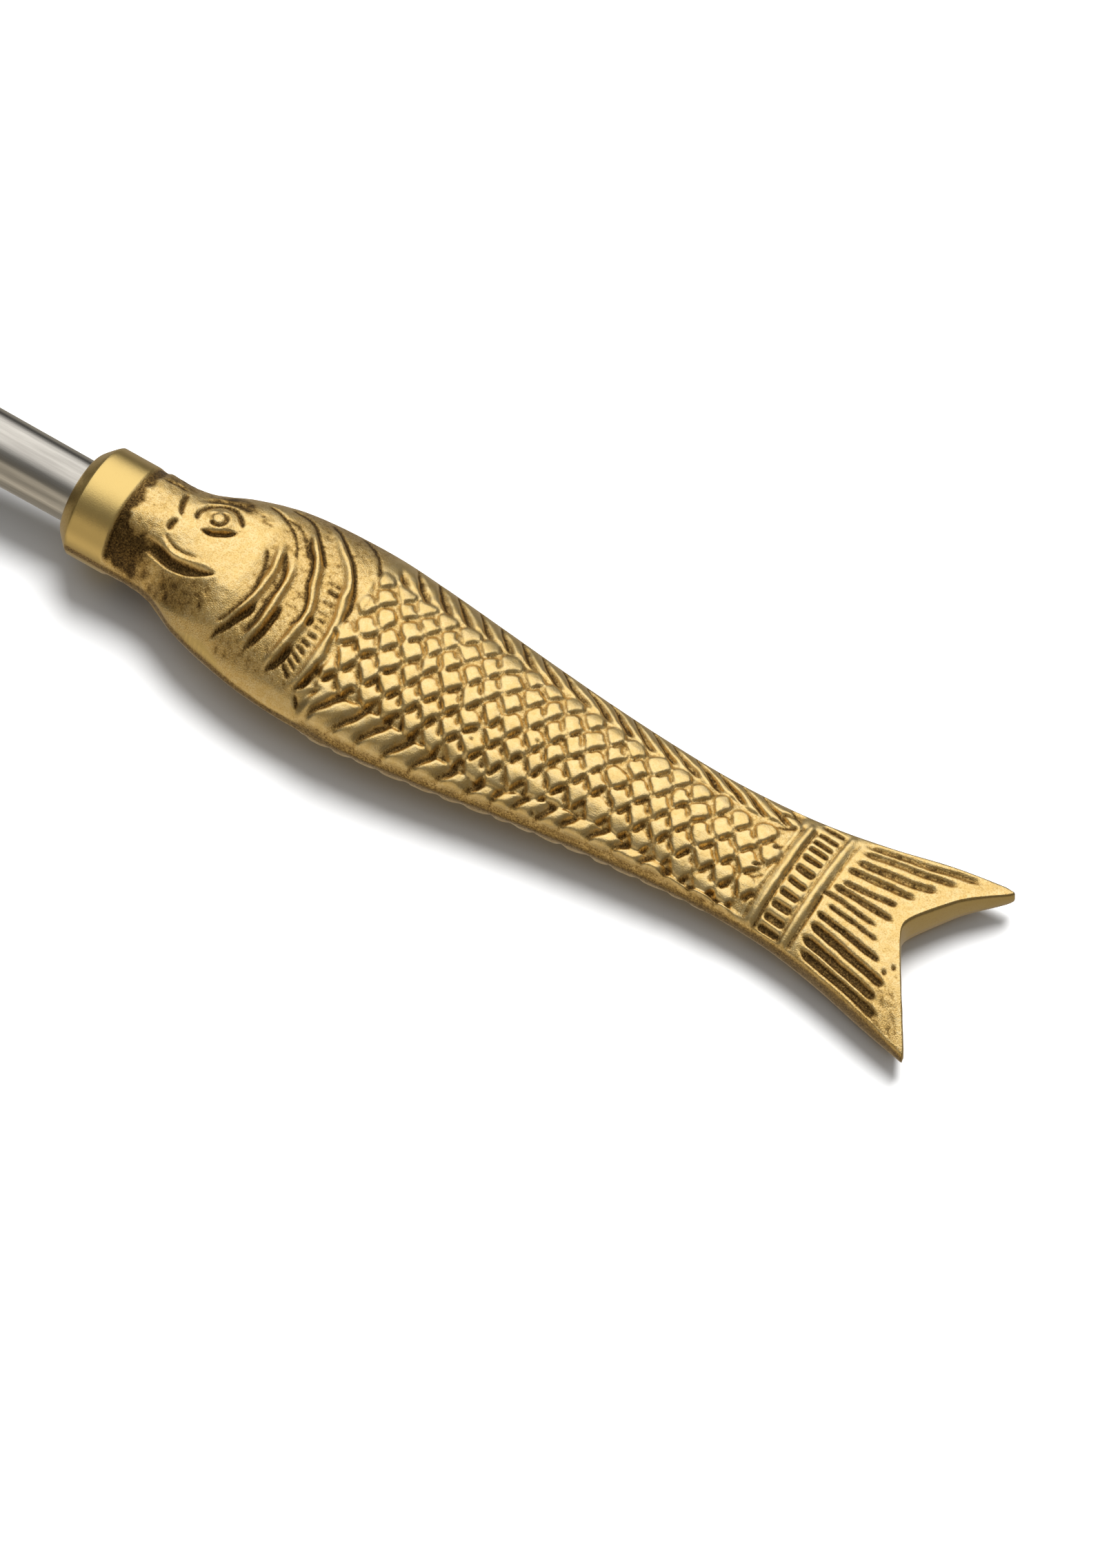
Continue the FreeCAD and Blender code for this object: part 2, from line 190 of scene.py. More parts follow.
class Relief:
    """Heights above the plain face, and how dark and how rough each spot is, on a set of points."""

    def __init__(self, x, y, seed):
        self.x, self.y, self.seed = x, y, seed
        self.height = np.zeros_like(x)
        # This brown value holds the brass's own patina and also painted shade.
        self.patina_and_shade = np.zeros_like(x)
        self.grain = np.full_like(x, 0.25)

    def distance(self, points, reach):
        """Distance to a line of points, and how far along it, from 0 to 1, where it is within reach."""
        low, high = points[:, :2].min(0) - reach, points[:, :2].max(0) + reach
        near = (self.x > low[0]) & (self.x < high[0]) & (self.y > low[1]) & (self.y < high[1])
        px, py = self.x[near], self.y[near]
        best = np.full(px.shape, 1e9)
        along = np.zeros(px.shape)
        count = len(points) - 1
        for k in range(count):
            a, b = points[k, :2], points[k + 1, :2]
            d = b - a
            t = np.clip(((px - a[0]) * d[0] + (py - a[1]) * d[1]) / max(d @ d, 1e-9), 0, 1)
            gap = np.hypot(px - a[0] - t * d[0], py - a[1] - t * d[1])
            closer = gap < best
            best[closer] = gap[closer]
            along[closer] = (k + t[closer]) / count
        return near, best, along

    def groove(self, points, width, depth, dark=1.0, taper=0.25, floor=0.2):
        """A cut along a line. It runs out over taper of its length at each end; floor is how flat it is."""
        near, gap, along = self.distance(bend(points), width)
        fade = run_out(along, taper)
        half = width / 2 * (0.35 + 0.65 * fade)
        inside = 1 - smooth(gap / half, floor, 1.15)
        before = self.height[near]
        self.height[near] = np.minimum(before, before * (1 - inside) - depth * fade * inside)
        self.patina_and_shade[near] = np.maximum(self.patina_and_shade[near], dark * inside * np.minimum(1, 0.3 + fade))
        self.grain[near] = np.maximum(self.grain[near], inside * 0.9)

    def ridge(self, points, width, height, taper=0.2, crest=0.2):
        """A raised rib along a line, clean and bright."""
        near, gap, along = self.distance(bend(points), width)
        fade = run_out(along, taper)
        half = width / 2
        inside = (1 - smooth(gap / half, crest, 1.1)) * fade
        self.height[near] = self.height[near] * (1 - 0.85 * inside) + height * inside
        self.patina_and_shade[near] *= 1 - 0.9 * inside
        self.grain[near] *= 1 - 0.6 * inside

    def dent(self, centre, length, width, turn, depth, dark=0.8):
        """An oval hollow, turned by some degrees."""
        angle = math.radians(turn)
        dx, dy = self.x - centre[0], self.y - centre[1]
        u = (dx * math.cos(angle) + dy * math.sin(angle)) / (length / 2)
        v = (dy * math.cos(angle) - dx * math.sin(angle)) / (width / 2)
        inside = 1 - smooth(np.hypot(u, v), 0.35, 1.1)
        self.height -= depth * inside
        self.patina_and_shade = np.maximum(self.patina_and_shade, dark * inside)
        self.grain = np.maximum(self.grain, inside * 0.8)

    def tone(self, mask, patina_and_shade, grain):
        """Darken and roughen a region."""
        self.patina_and_shade = np.maximum(self.patina_and_shade, patina_and_shade * mask)
        self.grain = np.maximum(self.grain, grain * mask)


def carve_nose(r):
    """The dark seam at the collar, the grainy nose, the nostril, the mouth and its lips, and a painted shade
    over the brow.
    """
    x, y = r.x, r.y
    ragged = 0.5 * value_noise(x, y, 0.9, r.seed + 8)
    seam = smooth(x, 7.65, 8.15) * (1 - smooth(x + ragged, 8.7, 9.6))
    r.height -= 0.24 * seam
    r.tone(seam, 0.82 + 0.2 * smooth(-y, -2.0, 3.0), 1.0)
    nose = smooth(x, 8.6, 9.4) * (1 - smooth(x, 12.8, 13.8))
    nose = nose * (1 - smooth(y, 3.8, 4.8)) * smooth(y, -3.6, -2.6)
    r.height += 0.07 * nose
    r.tone(nose, 0.1, 1.0)
    top = smooth(x, 8.6, 9.4) * (1 - smooth(x, 13.0, 14.5)) * smooth(y + ragged, 3.8, 4.6)
    r.tone(top, 0.5, 1.0)
    under = smooth(x, 8.0, 8.8) * (1 - smooth(x + 2 * ragged, 9.5, 17.5))
    under = under * (1 - smooth(y + ragged, -4.6, -1.6))
    r.height -= 0.22 * under
    r.tone(under, 1.05, 1.0)
    r.groove([(9.3, 4.3), (11.2, 4.6), (13.0, 4.4)], 0.7, 0.2, 0.8)
    r.groove([(13.1, 4.5), (13.3, 3.0), (13.8, 1.6), (14.6, 0.5)], 0.62, 0.34, 0.9)
    r.groove([(14.3, 0.3), (13.9, -0.7), (13.8, -1.8)], 0.75, 0.34, 0.85, 0.3)
    r.ridge([(13.4, -2.4), (15.2, -3.5), (17.5, -3.6), (19.5, -3.15), (21.0, -2.9)], 0.8, 0.2)
    r.groove([(13.8, -1.6), (14.2, -2.4), (15.6, -2.85), (17.4, -2.9), (19.4, -2.65)], 0.34, 0.17, 0.8)
    middle = through([(12.3, -3.9), (14, -4.2), (15.6, -4.45), (17.4, -4.45), (19.4, -4.25), (21.3, -3.4)], x)
    half = through([(12.3, 0.9), (14, 0.8), (15.6, 0.76), (17.4, 0.68), (19.4, 0.5), (21.3, 0.03)], x)
    mouth = 1 - smooth(np.abs(y - middle) / half, 0.45, 1.1)
    mouth = mouth * smooth(x, 11.8, 13.6) * (1 - smooth(x, 21.0, 21.3))
    r.height -= 0.62 * mouth
    r.tone(mouth, 1.0, 1.0)
    under_mouth = np.hypot((x - 18.6) / 6.6, (y + 6.6 - 0.02 * (x - 19) ** 2) / 2.5)
    hollow = 1 - smooth(under_mouth + 0.3 * ragged, 0.35, 1.15)
    r.height -= 0.28 * hollow
    r.tone(hollow, 0.55, 1.0)
    # Painted shade over the brow: a darkened patch with no relief under it.
    brow = np.hypot((x - 18.4) / 5.6, (y - 6.6 + 0.06 * (x - 18) ** 2) / 1.5)
    r.tone(1 - smooth(brow + 0.6 * ragged, 0.3, 1.1), 0.75, 1.0)
    r.ridge([(14, -7.6), (17, -8.4), (21, -8.8), (24, -8.5)], 0.9, 0.06)


def carve_eye(r):
    """A domed eye in an almond groove, with a ring for its pupil and a hollow for the brow."""
    r.groove([(14.8, 4.0), (16.5, 5.4), (18.5, 6.0), (20.9, 5.9)], 1.1, 0.28, 0.7)
    r.dent((18.1, 2.7), 5.8, 5.0, 12, 0.26, 0.2)
    r.dent((18.2, 2.75), 4.4, 3.5, 15, -0.5, 0.0)
    r.groove([(15.9, 1.2), (15.6, 2.5), (16.2, 4.0), (17.5, 4.9), (18.8, 4.9), (20.0, 4.2), (21.0, 3.1)],
             0.5, 0.4, 1.1, 0.08)
    r.groove([(21.0, 2.7), (19.7, 1.5), (18.3, 0.75), (16.7, 0.55)], 0.8, 0.6, 1.0)
    ring = [(17.9 + 0.95 * math.cos(a), 2.8 + 0.95 * math.sin(a)) for a in np.linspace(-2.4, 1.5, 9)]
    r.groove(ring, 0.4, 0.3, 1.0, 0.05)
    r.groove([(17.5, 3.5), (16.95, 2.9), (17.3, 2.2)], 0.35, 0.16, 0.6)
    for spot in ((21.9, 6.2), (23.2, 5.5)):
        r.dent(spot, 0.6, 0.45, 20, 0.18, 0.8)


GILL_RIDGES = [
    ([(25.1, 5), (26, 3.5), (26.7, 1), (26.8, -1), (26.7, -3), (26.3, -5), (25.4, -7), (24.2, -8.7)],
     0.95, 0.22),
    ([(27.5, 4.5), (28.4, 2), (28.9, -1), (29.1, -3), (29.1, -5), (28.9, -6.5), (28.3, -8), (27.6, -9.3)],
     0.9, 0.22),
    ([(27, 8.5), (28.5, 6.8), (30.2, 4.6), (31.3, 2.8), (31.9, 1.2), (32.6, -0.3), (33, -2), (33, -4),
      (32.9, -5.5), (32.6, -7), (32, -8.5), (31.3, -10)], 1.15, 0.26),
    ([(28.3, 10.2), (30.5, 8.8), (32.3, 7), (34.3, 5), (35.2, 3.2), (35.6, 1.5), (36.3, 0), (36.7, -2),
      (36.8, -4), (36.7, -6), (36.4, -8), (35.8, -9.5), (34.5, -10.5)], 1.15, 0.22),
]
GILL_LINES = [
    ([(21, 8.2), (23, 7.9), (25, 6.8), (26.5, 5.6), (27.5, 4.5), (28.3, 3)], 0.35, 0.18, 0.65),
    ([(24.6, 2.7), (25.2, 1.6), (25.7, 0.2), (26, -1.5), (26.1, -3), (25.8, -5), (25, -6.8), (23.9, -8)],
     0.4, 0.25, 0.7),
    ([(26.5, 3.9), (27.5, 2), (28.1, 0.3), (28.3, -2), (28.3, -4), (28.2, -6), (27.6, -8)], 0.45, 0.25, 0.75),
    ([(27.4, -3.2), (27.15, -5), (26.2, -6.8), (25, -8.3), (23.9, -9.9)], 0.64, 0.5, 1.0),
    ([(29.9, -2.0), (30, -3.5), (29.9, -5), (29.6, -6.8), (29.1, -8.3), (28.3, -9.9)], 0.58, 0.46, 1.0),
    ([(27.9, 6.8), (28.7, 5.3), (29.9, 4), (30.6, 2.8), (31, 1.2), (31.9, -0.3), (32.3, -1.5), (32.3, -3),
      (32.1, -4.5)], 0.42, 0.25, 0.7),
    ([(33.8, -1.8), (33.6, -3.4)], 0.55, 0.4, 0.95),
    ([(33.9, -5.6), (33.4, -7.3), (32.7, -8.8), (31.6, -10.2)], 0.6, 0.5, 1.0),
    ([(28, 10.8), (30.3, 9.6), (33, 7.2), (34.8, 5), (36.2, 2.8), (37.2, 0.2), (37.5, -2)], 0.42, 0.28, 0.8),
    ([(37.8, -4.2), (37.6, -6), (37.4, -7.5), (36.8, -9.1), (36, -10.2)], 0.65, 0.65, 1.0),
    ([(23.2, 9.4), (26, 9.3), (27.6, 8.4), (29.2, 6.8), (30.6, 5.3), (31.8, 3.8)], 0.4, 0.26, 0.75),
    ([(24, 7.6), (26, 7.2), (27.5, 6.1), (28.5, 5), (29.6, 3.9)], 0.35, 0.18, 0.55),
    ([(31.5, 11.5), (34, 10.4), (36.2, 8.2), (37.6, 5.6), (38.2, 3.2), (38.3, 0.5), (38.3, -2)],
     0.36, 0.26, 0.8),
    ([(36.6, -10.4), (37.6, -11.3)], 0.4, 0.3, 0.9),
    ([(38.6, -11.5), (39.8, -11.3), (41.2, -10.7)], 0.4, 0.3, 0.9),
]
RIDGE_WIDER, RIDGE_TALLER = 1.5, 1.6
LINE_WIDER, LINE_DEEPER, LINE_DARKER, LINE_DARKEST = 1.4, 1.4, 1.6, 1.2
FRINGE_MIDDLE = [(-9, 34.2), (-6, 34.9), (-3, 35.0), (1, 34.4), (4, 33.6)]
FRINGE_SLOTS = [2.8, 1.8, 0.4, -1.0, -2.0, -3.0, -4.1, -5.2, -6.2, -7.1, -8.0, -8.9]


def carve_gills(r):
    """The gill covers: four curved ribs with cuts between, and a fringe of slots between the last two."""
    x, y = r.x, r.y
    cheek = smooth(x, 29.2, 30.2) * (1 - smooth(x, 31.4, 32.4)) * smooth(y, -9.5, -8) * (1 - smooth(y, 1, 3))
    r.tone(cheek, 0.32, 1.0)
    gills = smooth(x, 24.0, 25.5) * (1 - smooth(x, 36.0, 37.5)) * smooth(y, -11.0, -10.0)
    r.height -= 0.2 * gills
    r.tone(gills, 0.3, 1.0)
    for points, width, height in GILL_RIDGES:
        starts_low = points[0][1] < 6
        r.ridge(points, width * RIDGE_WIDER, height * RIDGE_TALLER, 0.28 if starts_low else 0.12, 0.05)
    for points, width, depth, dark in GILL_LINES:
        shade = min(LINE_DARKEST, dark * LINE_DARKER)
        r.groove(points, width * LINE_WIDER, depth * LINE_DEEPER, shade, 0.3 if width > 0.5 else 0.1)
    for k, level in enumerate(FRINGE_SLOTS):
        lean = 0.25 + 0.9 * smooth(-level, 4.0, 9.0)
        bold = 1.0 if k == 1 or level < -4 else 0.7
        middle = through(FRINGE_MIDDLE, level)
        slot = [(middle - 0.95, level + lean / 2), (middle + 0.75, level - lean / 2)]
        r.groove(slot, 0.6, 0.5 * bold, bold, 0.25)


SCALE_ROWS = [
    ([(37, 7.0), (45, 6.6), (57, 5.6), (66, 4.9), (73, 4.1), (80, 3.7), (88, 3.3), (95, 3.6)], 0.0),
    ([(37, 4.9), (45, 4.55), (57, 3.35), (66, 2.7), (73, 2.0), (80, 1.6), (88, 1.1), (95, 1.3)], 1.5),
    ([(37, 2.7), (45, 2.4), (57, 1.25), (66, 0.5), (73, -0.15), (80, -0.6), (88, -1.1), (95, -1.2)], 0.1),
    ([(37, 0.5), (45, 0.25), (57, -0.95), (66, -1.7), (73, -2.4), (80, -2.8), (88, -3.3), (95, -3.6)], 1.4),
    ([(37, -1.7), (45, -1.95), (57, -3.15), (66, -3.9), (73, -4.6), (80, -5.0), (88, -5.5), (95, -5.9)], 0.0),
    ([(37, -3.9), (45, -4.15), (57, -5.3), (66, -6.1), (73, -6.9)], 1.5),
    ([(37, -6.1), (45, -6.3), (57, -7.35), (66, -8.2)], 0.1),
    ([(37, -8.2), (45, -8.5), (57, -9.4)], 1.4),
]
SCALE_PITCH, SCALES_IN_ROW = 2.95, 20
SCALE_FLOOR, SCALE_REACH = -0.25, 2.4


def carve_scales(r):
    """Rows of shield-shaped pads. Each has a brown line over its top, a shallow nick by its side to the head,
    and a slanting cut by its side to the tail, deeper towards the belly and browner there as painted shade."""
    local = np.random.default_rng(r.seed)
    x, y = r.x, r.y
    field = smooth(x, 36.9, 37.6) * (1 - smooth(x, 93.4, 94.2))
    field = field * smooth(through(FIELD_TOP, x) + 0.25 - y, 0.0, 0.4)
    field = field * smooth(y - through(FIELD_BOTTOM, x) + 0.2, 0.0, 0.5)
    level = np.full_like(x, SCALE_FLOOR)
    edge = np.zeros_like(x)
    bare = np.zeros_like(x)
    pits = []
    for row, shift in SCALE_ROWS:
        for k in range(SCALES_IN_ROW):
            cx = SCALES_START + 0.9 + shift + k * SCALE_PITCH + local.uniform(-0.2, 0.2)
            cy = through(row, cx) + local.uniform(-0.16, 0.16)
            size = local.uniform(0.94, 1.1)
            lean = local.uniform(-0.22, 0.12)
            tip = local.uniform(-0.25, 0.1)
            sway = local.uniform(-0.045, 0.045, 2)
            bottom = through(FIELD_BOTTOM, cx)
            if cx > SCALES_END - 0.8 or cy > through(FIELD_TOP, cx) - 0.3 or cy < bottom + 0.2:
                continue
            if cx > row[-1][0] + 2.5:
                continue
            near = (np.abs(x - cx) < SCALE_REACH) & (np.abs(y - cy) < SCALE_REACH)
            dy = y[near] - cy
            dx = x[near] - cx - lean * dy - tip * np.minimum(dy, 0) / 1.6
            arch = ((np.abs(dx) / (1.3 * size)) ** 1.7 + (np.abs(dy) / (1.16 * size)) ** 1.7) ** (1 / 1.7)
            point = ((np.abs(dx) / (1.28 * size)) ** 1.25 + (np.abs(dy) / (1.7 * size)) ** 1.25) ** (1 / 1.25)
            form = np.where(dy > 0, arch, point)
            inside = 1 - smooth(form, 0.9, 1.1)
            towards_belly = smooth(-cy, -6.0, 6.0)
            tilt = sway[0] * dx + (sway[1] - 0.02 + 0.034 * min(cy, 0.0)) * dy
            pad = SCALE_FLOOR + (0.36 + tilt + 0.1 * (1 - form)) * inside
            level[near] = np.maximum(level[near], pad)
            rim = smooth(form, 0.88, 1.0) * (1 - smooth(form, 1.1, 1.45)) * smooth(dy, -0.9, 0.1)
            edge[near] = np.maximum(edge[near], rim)
            bare[near] = np.maximum(bare[near], 1 - smooth(form, 0.85, 1.0))
            pits.append((cx + tip * 0.5, cy, towards_belly, size))
    dark = 0.02 + 0.08 * (1 - bare) + 0.24 * edge * (1 - bare)
    r.height = r.height * (1 - field) + field * (r.height * 0.3 + level)
    r.patina_and_shade = r.patina_and_shade * (1 - field) + field * dark
    r.grain = np.maximum(r.grain, field * (0.3 + 0.6 * (1 - bare)))
    # Towards the belly the cuts and nicks get deeper, and their brown grows too: that added brown is painted
    # shade.
    for cx, cy, towards_belly, size in pits:
        reach = 0.95 + 0.15 * towards_belly + local.uniform(-0.12, 0.1)
        wide = 0.44 + 0.16 * towards_belly + local.uniform(-0.06, 0.06)
        px, py = cx + 0.84 * size, cy - 1.0 * size
        cut = [(px + 0.5 * reach, py + 0.8 * reach), (px + 0.04, py), (px - 0.5 * reach, py - 0.8 * reach)]
        depth = 0.34 + 0.26 * towards_belly + local.uniform(-0.05, 0.08)
        if cy > 4.6:
            depth, wide = 0.36, 0.55
        r.groove(cut, wide, depth, 0.46 + 0.22 * towards_belly, 0.2)
        qx, qy = cx - 0.86 * size, cy - 1.1 * size
        nick = [(qx - 0.42, qy + 0.6), (qx, qy + 0.02), (qx + 0.36, qy - 0.6)]
        r.groove(nick, 0.6, 0.2 + 0.12 * towards_belly, 0.4 + 0.22 * towards_belly, 0.3)


BACK_BAND_FOOT = [
    (30, 8.9), (34, 8.3), (38, 7.9), (43, 7.5), (50, 7.2), (57, 6.9), (62, 6.4), (68, 5.5), (77, 5.1),
    (84, 4.8), (90, 5.2), (96, 6.0),
]
BACK_RIB_PITCH, BELLY_RIB_PITCH = 3.08, 3.06


def band_ribs(r, along, pitch, start, end, jitter):
    """Splits a band into ribs. For each point: how far across its rib, -1 to 1, and the rib's own chance."""
    local = np.random.default_rng(r.seed + 3)
    count = int((end - start) / pitch) + 2
    cuts = start + pitch * np.arange(count) + local.uniform(-jitter, jitter, count)
    chance = local.uniform(-1, 1, count)
    which = np.clip(np.searchsorted(cuts, along) - 1, 0, count - 2)
    across = 2 * (along - cuts[which]) / (cuts[which + 1] - cuts[which]) - 1
    return np.clip(across, -1.2, 1.2), chance[which]


def carve_back_band(r):
    """Lens-shaped pads along the back with slanting teardrop hollows between them, rough in their floors."""
    x, y = r.x, r.y
    edge = half_widths(x)[0]
    foot = through(BACK_BAND_FOOT, x) + 0.15 * value_noise(x, y, 1.3, r.seed + 31)
    depth_in = np.clip((edge - y) / np.maximum(edge - foot, 0.5), -0.2, 1.4)
    slant = 1.15 + 0.55 * smooth(x, 55, 66)
    across, chance = band_ribs(r, x + slant * (y - edge), BACK_RIB_PITCH, 26.6, 91.0, 0.25)
    inside = smooth(x, 38.0, 40.0) * (1 - smooth(x, 93.0, 94.3)) * (1 - smooth(depth_in, 0.98, 1.08))
    reach = 0.78 - 0.3 * smooth(depth_in, 0.1, 0.8) - 0.05 * chance
    hollow = smooth(np.abs(across + 0.1), reach - 0.12, reach + 0.22) * (1 - smooth(depth_in, 0.9, 1.02))
    steep = smooth(across, 0.5, 0.85) * (1 - smooth(across, 0.93, 1.0))
    cut = inside * hollow
    lens = 0.16 * (1 - across**2) * smooth(depth_in, 0.0, 0.2)
    shape = lens + 0.04 - (0.4 + 0.05 * chance) * hollow - 0.22 * steep
    r.height = r.height * (1 - inside) + inside * shape
    r.patina_and_shade = r.patina_and_shade * (1 - inside) + inside * (0.08 + 0.42 * hollow + 0.3 * steep * hollow)
    r.grain = np.maximum(r.grain * (1 - inside), cut * 0.95)
    shelf = inside * smooth(depth_in, 0.9, 0.97) * (1 - smooth(depth_in, 1.03, 1.12))
    r.height -= 0.12 * shelf
    r.patina_and_shade = np.maximum(r.patina_and_shade, 0.4 * shelf)
    r.groove([(91.5, 4.3), (92.8, 5.2), (94, 5.8)], 0.6, 0.36, 0.9)
    r.groove([(90.5, 6.2), (92, 6.9), (93.5, 7.2)], 0.55, 0.3, 0.8)


def carve_belly_band(r):
    """Fat rounded ribs slanting down the belly, with dark cuts between them that run out at the rim, and
    three casting pits. The cuts' brown is partly patina and partly painted shade on the falling side of each
    rib."""
    x, y = r.x, r.y
    edge = -half_widths(x)[1]
    head = through(FIELD_BOTTOM, x)
    rim = edge + 0.3
    run = np.clip((head - y) / np.maximum(head - rim, 0.4), -0.4, 1.4)
    slant = 0.62 + 0.2 * np.sin(1.9 * run)
    across, chance = band_ribs(r, x - slant * (y - head), BELLY_RIB_PITCH, 38.6, 96.0, 0.3)
    point = 0.12 * (1 - np.abs(across)) + 0.02
    inside = smooth(x, 37.5, 39.0) * (1 - smooth(x, 92.0, 93.5))
    inside = inside * smooth(run, -0.02 - point, 0.08 - point) * (1 - smooth(run, 0.98, 1.15))
    fall = smooth(across, 0.1 * chance, 0.9)
    valley = np.maximum(fall, 1 - smooth(across, -1.0, -0.72))
    valley = valley * (1 - 0.25 * smooth(run, 0.7, 1.05))
    shape = 0.26 + 0.04 * chance + 1.1 * smooth(run, -0.1, 1.0) - 0.8 * valley
    r.height = r.height * (1 - inside) + inside * shape
    # The valleys and the falling side of each rib are browned: partly patina in the cuts, partly painted
    # shade.
    sunk = smooth(valley, 0.55, 1.0)
    r.patina_and_shade = r.patina_and_shade * (1 - inside) + inside * (0.04 + 0.75 * sunk)
    r.grain = np.maximum(r.grain * (1 - inside), inside * (0.3 + 0.6 * sunk))
    over = smooth(x, 40, 41) * (1 - smooth(x, 91, 92))
    over = over * smooth(run, -0.26, -0.1) * (1 - smooth(run, -0.06, 0.03))
    over = over * (0.5 + 0.5 * smooth(across, 0.0, 0.8))
    r.height -= 0.3 * over
    r.patina_and_shade = np.maximum(r.patina_and_shade, 0.7 * over)
    for spot in ((67.3, -8.2), (56.9, -5.2), (63.5, -1.6)):
        r.dent(spot, 0.5, 0.45, 0, 0.35, 1.0)


TAIL_SLOTS = [
    (7.8, 0.45), (6.5, 0.45), (5.3, 0.45), (4.2, 0.5), (2.9, 0.5), (1.3, 0.8), (-0.45, 0.6),
    (-2.1, 0.7), (-3.7, 0.8), (-5.35, 0.85), (-6.75, 0.8),
]
SLOT_SLANT, SLOT_WIDER, RAY_WIDER = -0.12, 1.25, 1.28
TAIL_RAYS = [
    ([(101.3, 8.3), (108.7, 9.8), (115.3, 11.4)], 0.62, 0.32),
    ([(101.3, 7.15), (107.4, 8.3), (113.3, 9.4)], 0.62, 0.34),
    ([(101.4, 5.7), (106.8, 6.4), (111.6, 7.5)], 0.7, 0.36),
    ([(101.1, 4.2), (105.5, 4.75), (110, 5.3)], 0.62, 0.34),
    ([(101.6, 2.5), (105.2, 2.95), (108.85, 3.35)], 0.48, 0.28),
    ([(100.9, 1.6), (105.5, 1.65), (109.2, 1.4)], 0.6, 0.34),
    ([(100.4, 0.2), (101.6, 0.45), (108.5, -0.15)], 0.42, 0.25),
    ([(101.6, -0.8), (105.4, -1.1), (109.2, -1.6)], 0.38, 0.25),
    ([(100.9, -2.2), (105.8, -2.85), (110.7, -3.6)], 0.58, 0.34),
    ([(101.1, -3.7), (106.9, -4.75), (112.6, -6)], 0.82, 0.45),
    ([(101.1, -5.35), (106.9, -6.5), (112.7, -7.85)], 0.82, 0.45),
    ([(101.6, -6.8), (107.8, -8.0), (113.9, -9.5)], 0.82, 0.42),
    ([(102.4, -8.2), (109, -9.35)], 0.3, 0.15),
]


def carve_tail(r):
    """Two cross bars with a ladder of slots between, the rays of the tail fin, and a few casting pits."""
    x, y = r.x, r.y
    for spot in ([(93.9, 2.9), (92.8, 1.8)], [(93.1, 0.1), (91.9, -1.2)], [(94.0, -1.4), (92.6, -2.8)]):
        r.groove(spot, 0.55, 0.3, 0.9)
    r.groove([(94.3, 6.9), (94.3, 0), (94.2, -7.0)], 0.5, 0.25, 0.7, 0.05)
    r.ridge([(95.15, 7.5), (95.15, 0), (95.05, -8.0)], 0.85, 0.2, 0.05)
    r.groove([(95.85, 7.3), (95.85, 0), (95.8, -7.7)], 0.5, 0.36, 0.85, 0.05)
    r.ridge([(99.8, 8.7), (99.8, 0), (99.6, -8.3)], 1.05, 0.2, 0.05)
    r.groove([(99.1, 8.3), (99.1, 0), (98.95, -7.8)], 0.45, 0.22, 0.6, 0.05)
    r.groove([(100.75, 8.4), (100.75, 2), (100.6, 0)], 0.5, 0.2, 0.55, 0.1)
    r.groove([(100.65, 0.4), (100.65, -4), (100.5, -7.9)], 0.6, 0.36, 0.95, 0.1)
    for level, width in TAIL_SLOTS:
        slot = [(96.1, level - SLOT_SLANT), (97.5, level), (98.9, level + SLOT_SLANT)]
        r.groove(slot, width * SLOT_WIDER, 0.38, 0.85, 0.12, 0.5)
    for points, width, depth in TAIL_RAYS:
        # The rays' brown grows towards the belly's side; that growth is painted shade.
        shade = 0.66 + 0.3 * smooth(-points[0][1], -5.0, 3.0)
        r.groove(points, width * RAY_WIDER, depth, shade, 0.12, 0.6)
    for cx, cy, size in ((112.2, -3.35, 0.6), (111.5, -4.45, 0.6), (113.0, -4.2, 0.42), (109.1, -9.35, 0.42)):
        r.dent((cx, cy), size, size, 0, 0.4, 1.4)
    # Painted shade: the tail is browned a little, its prong on the back's side more, and its prong on the
    # belly's side most.
    r.tone(smooth(x, 100.5, 101.5), 0.14, 0.6)
    r.tone(smooth(x, 107.0, 112.0) * smooth(y, -2.0, 3.0), 0.3, 0.6)
    r.tone(smooth(x, 107.0, 112.0) * (1 - smooth(y, -6.5, -3.5)), 0.44, 1.0)
    wrinkled = smooth(x, 111.0, 113.5) * (1 - smooth(y, -6.5, -5.0))
    r.height += 0.09 * wrinkled * value_noise(x * 0.5, y, 0.8, r.seed + 4)
    r.tone(wrinkled, 0.22, 0.8)


BOLDNESS = 1.2
FILED_EDGE = [
    (8, -5.0), (9.2, -6.9), (11.5, -7.9), (15, -8.7), (20, -9.7), (24, -10.1), (28, -11.7), (38, -12.4),
    (50, -12.4), (120, -14),
]


def filing(x, y):
    """How filed each point is, on the collar and a facet by the belly's edge, and how high its file marks."""
    filed = 1 - smooth(y - through(FILED_EDGE, x), -0.1, 0.25)
    filed = np.maximum(filed * smooth(x, 8.2, 10.0), 1 - smooth(x, 7.7, 8.0))
    hatched = smooth(x, 20.6, 21.2) * (1 - smooth(x, 24.2, 24.8)) * smooth(-y, 9.3, 9.9)
    return filed, 0.07 * hatched * filed * np.sin(2 * math.pi * (x + 0.45 * y) / 0.62)


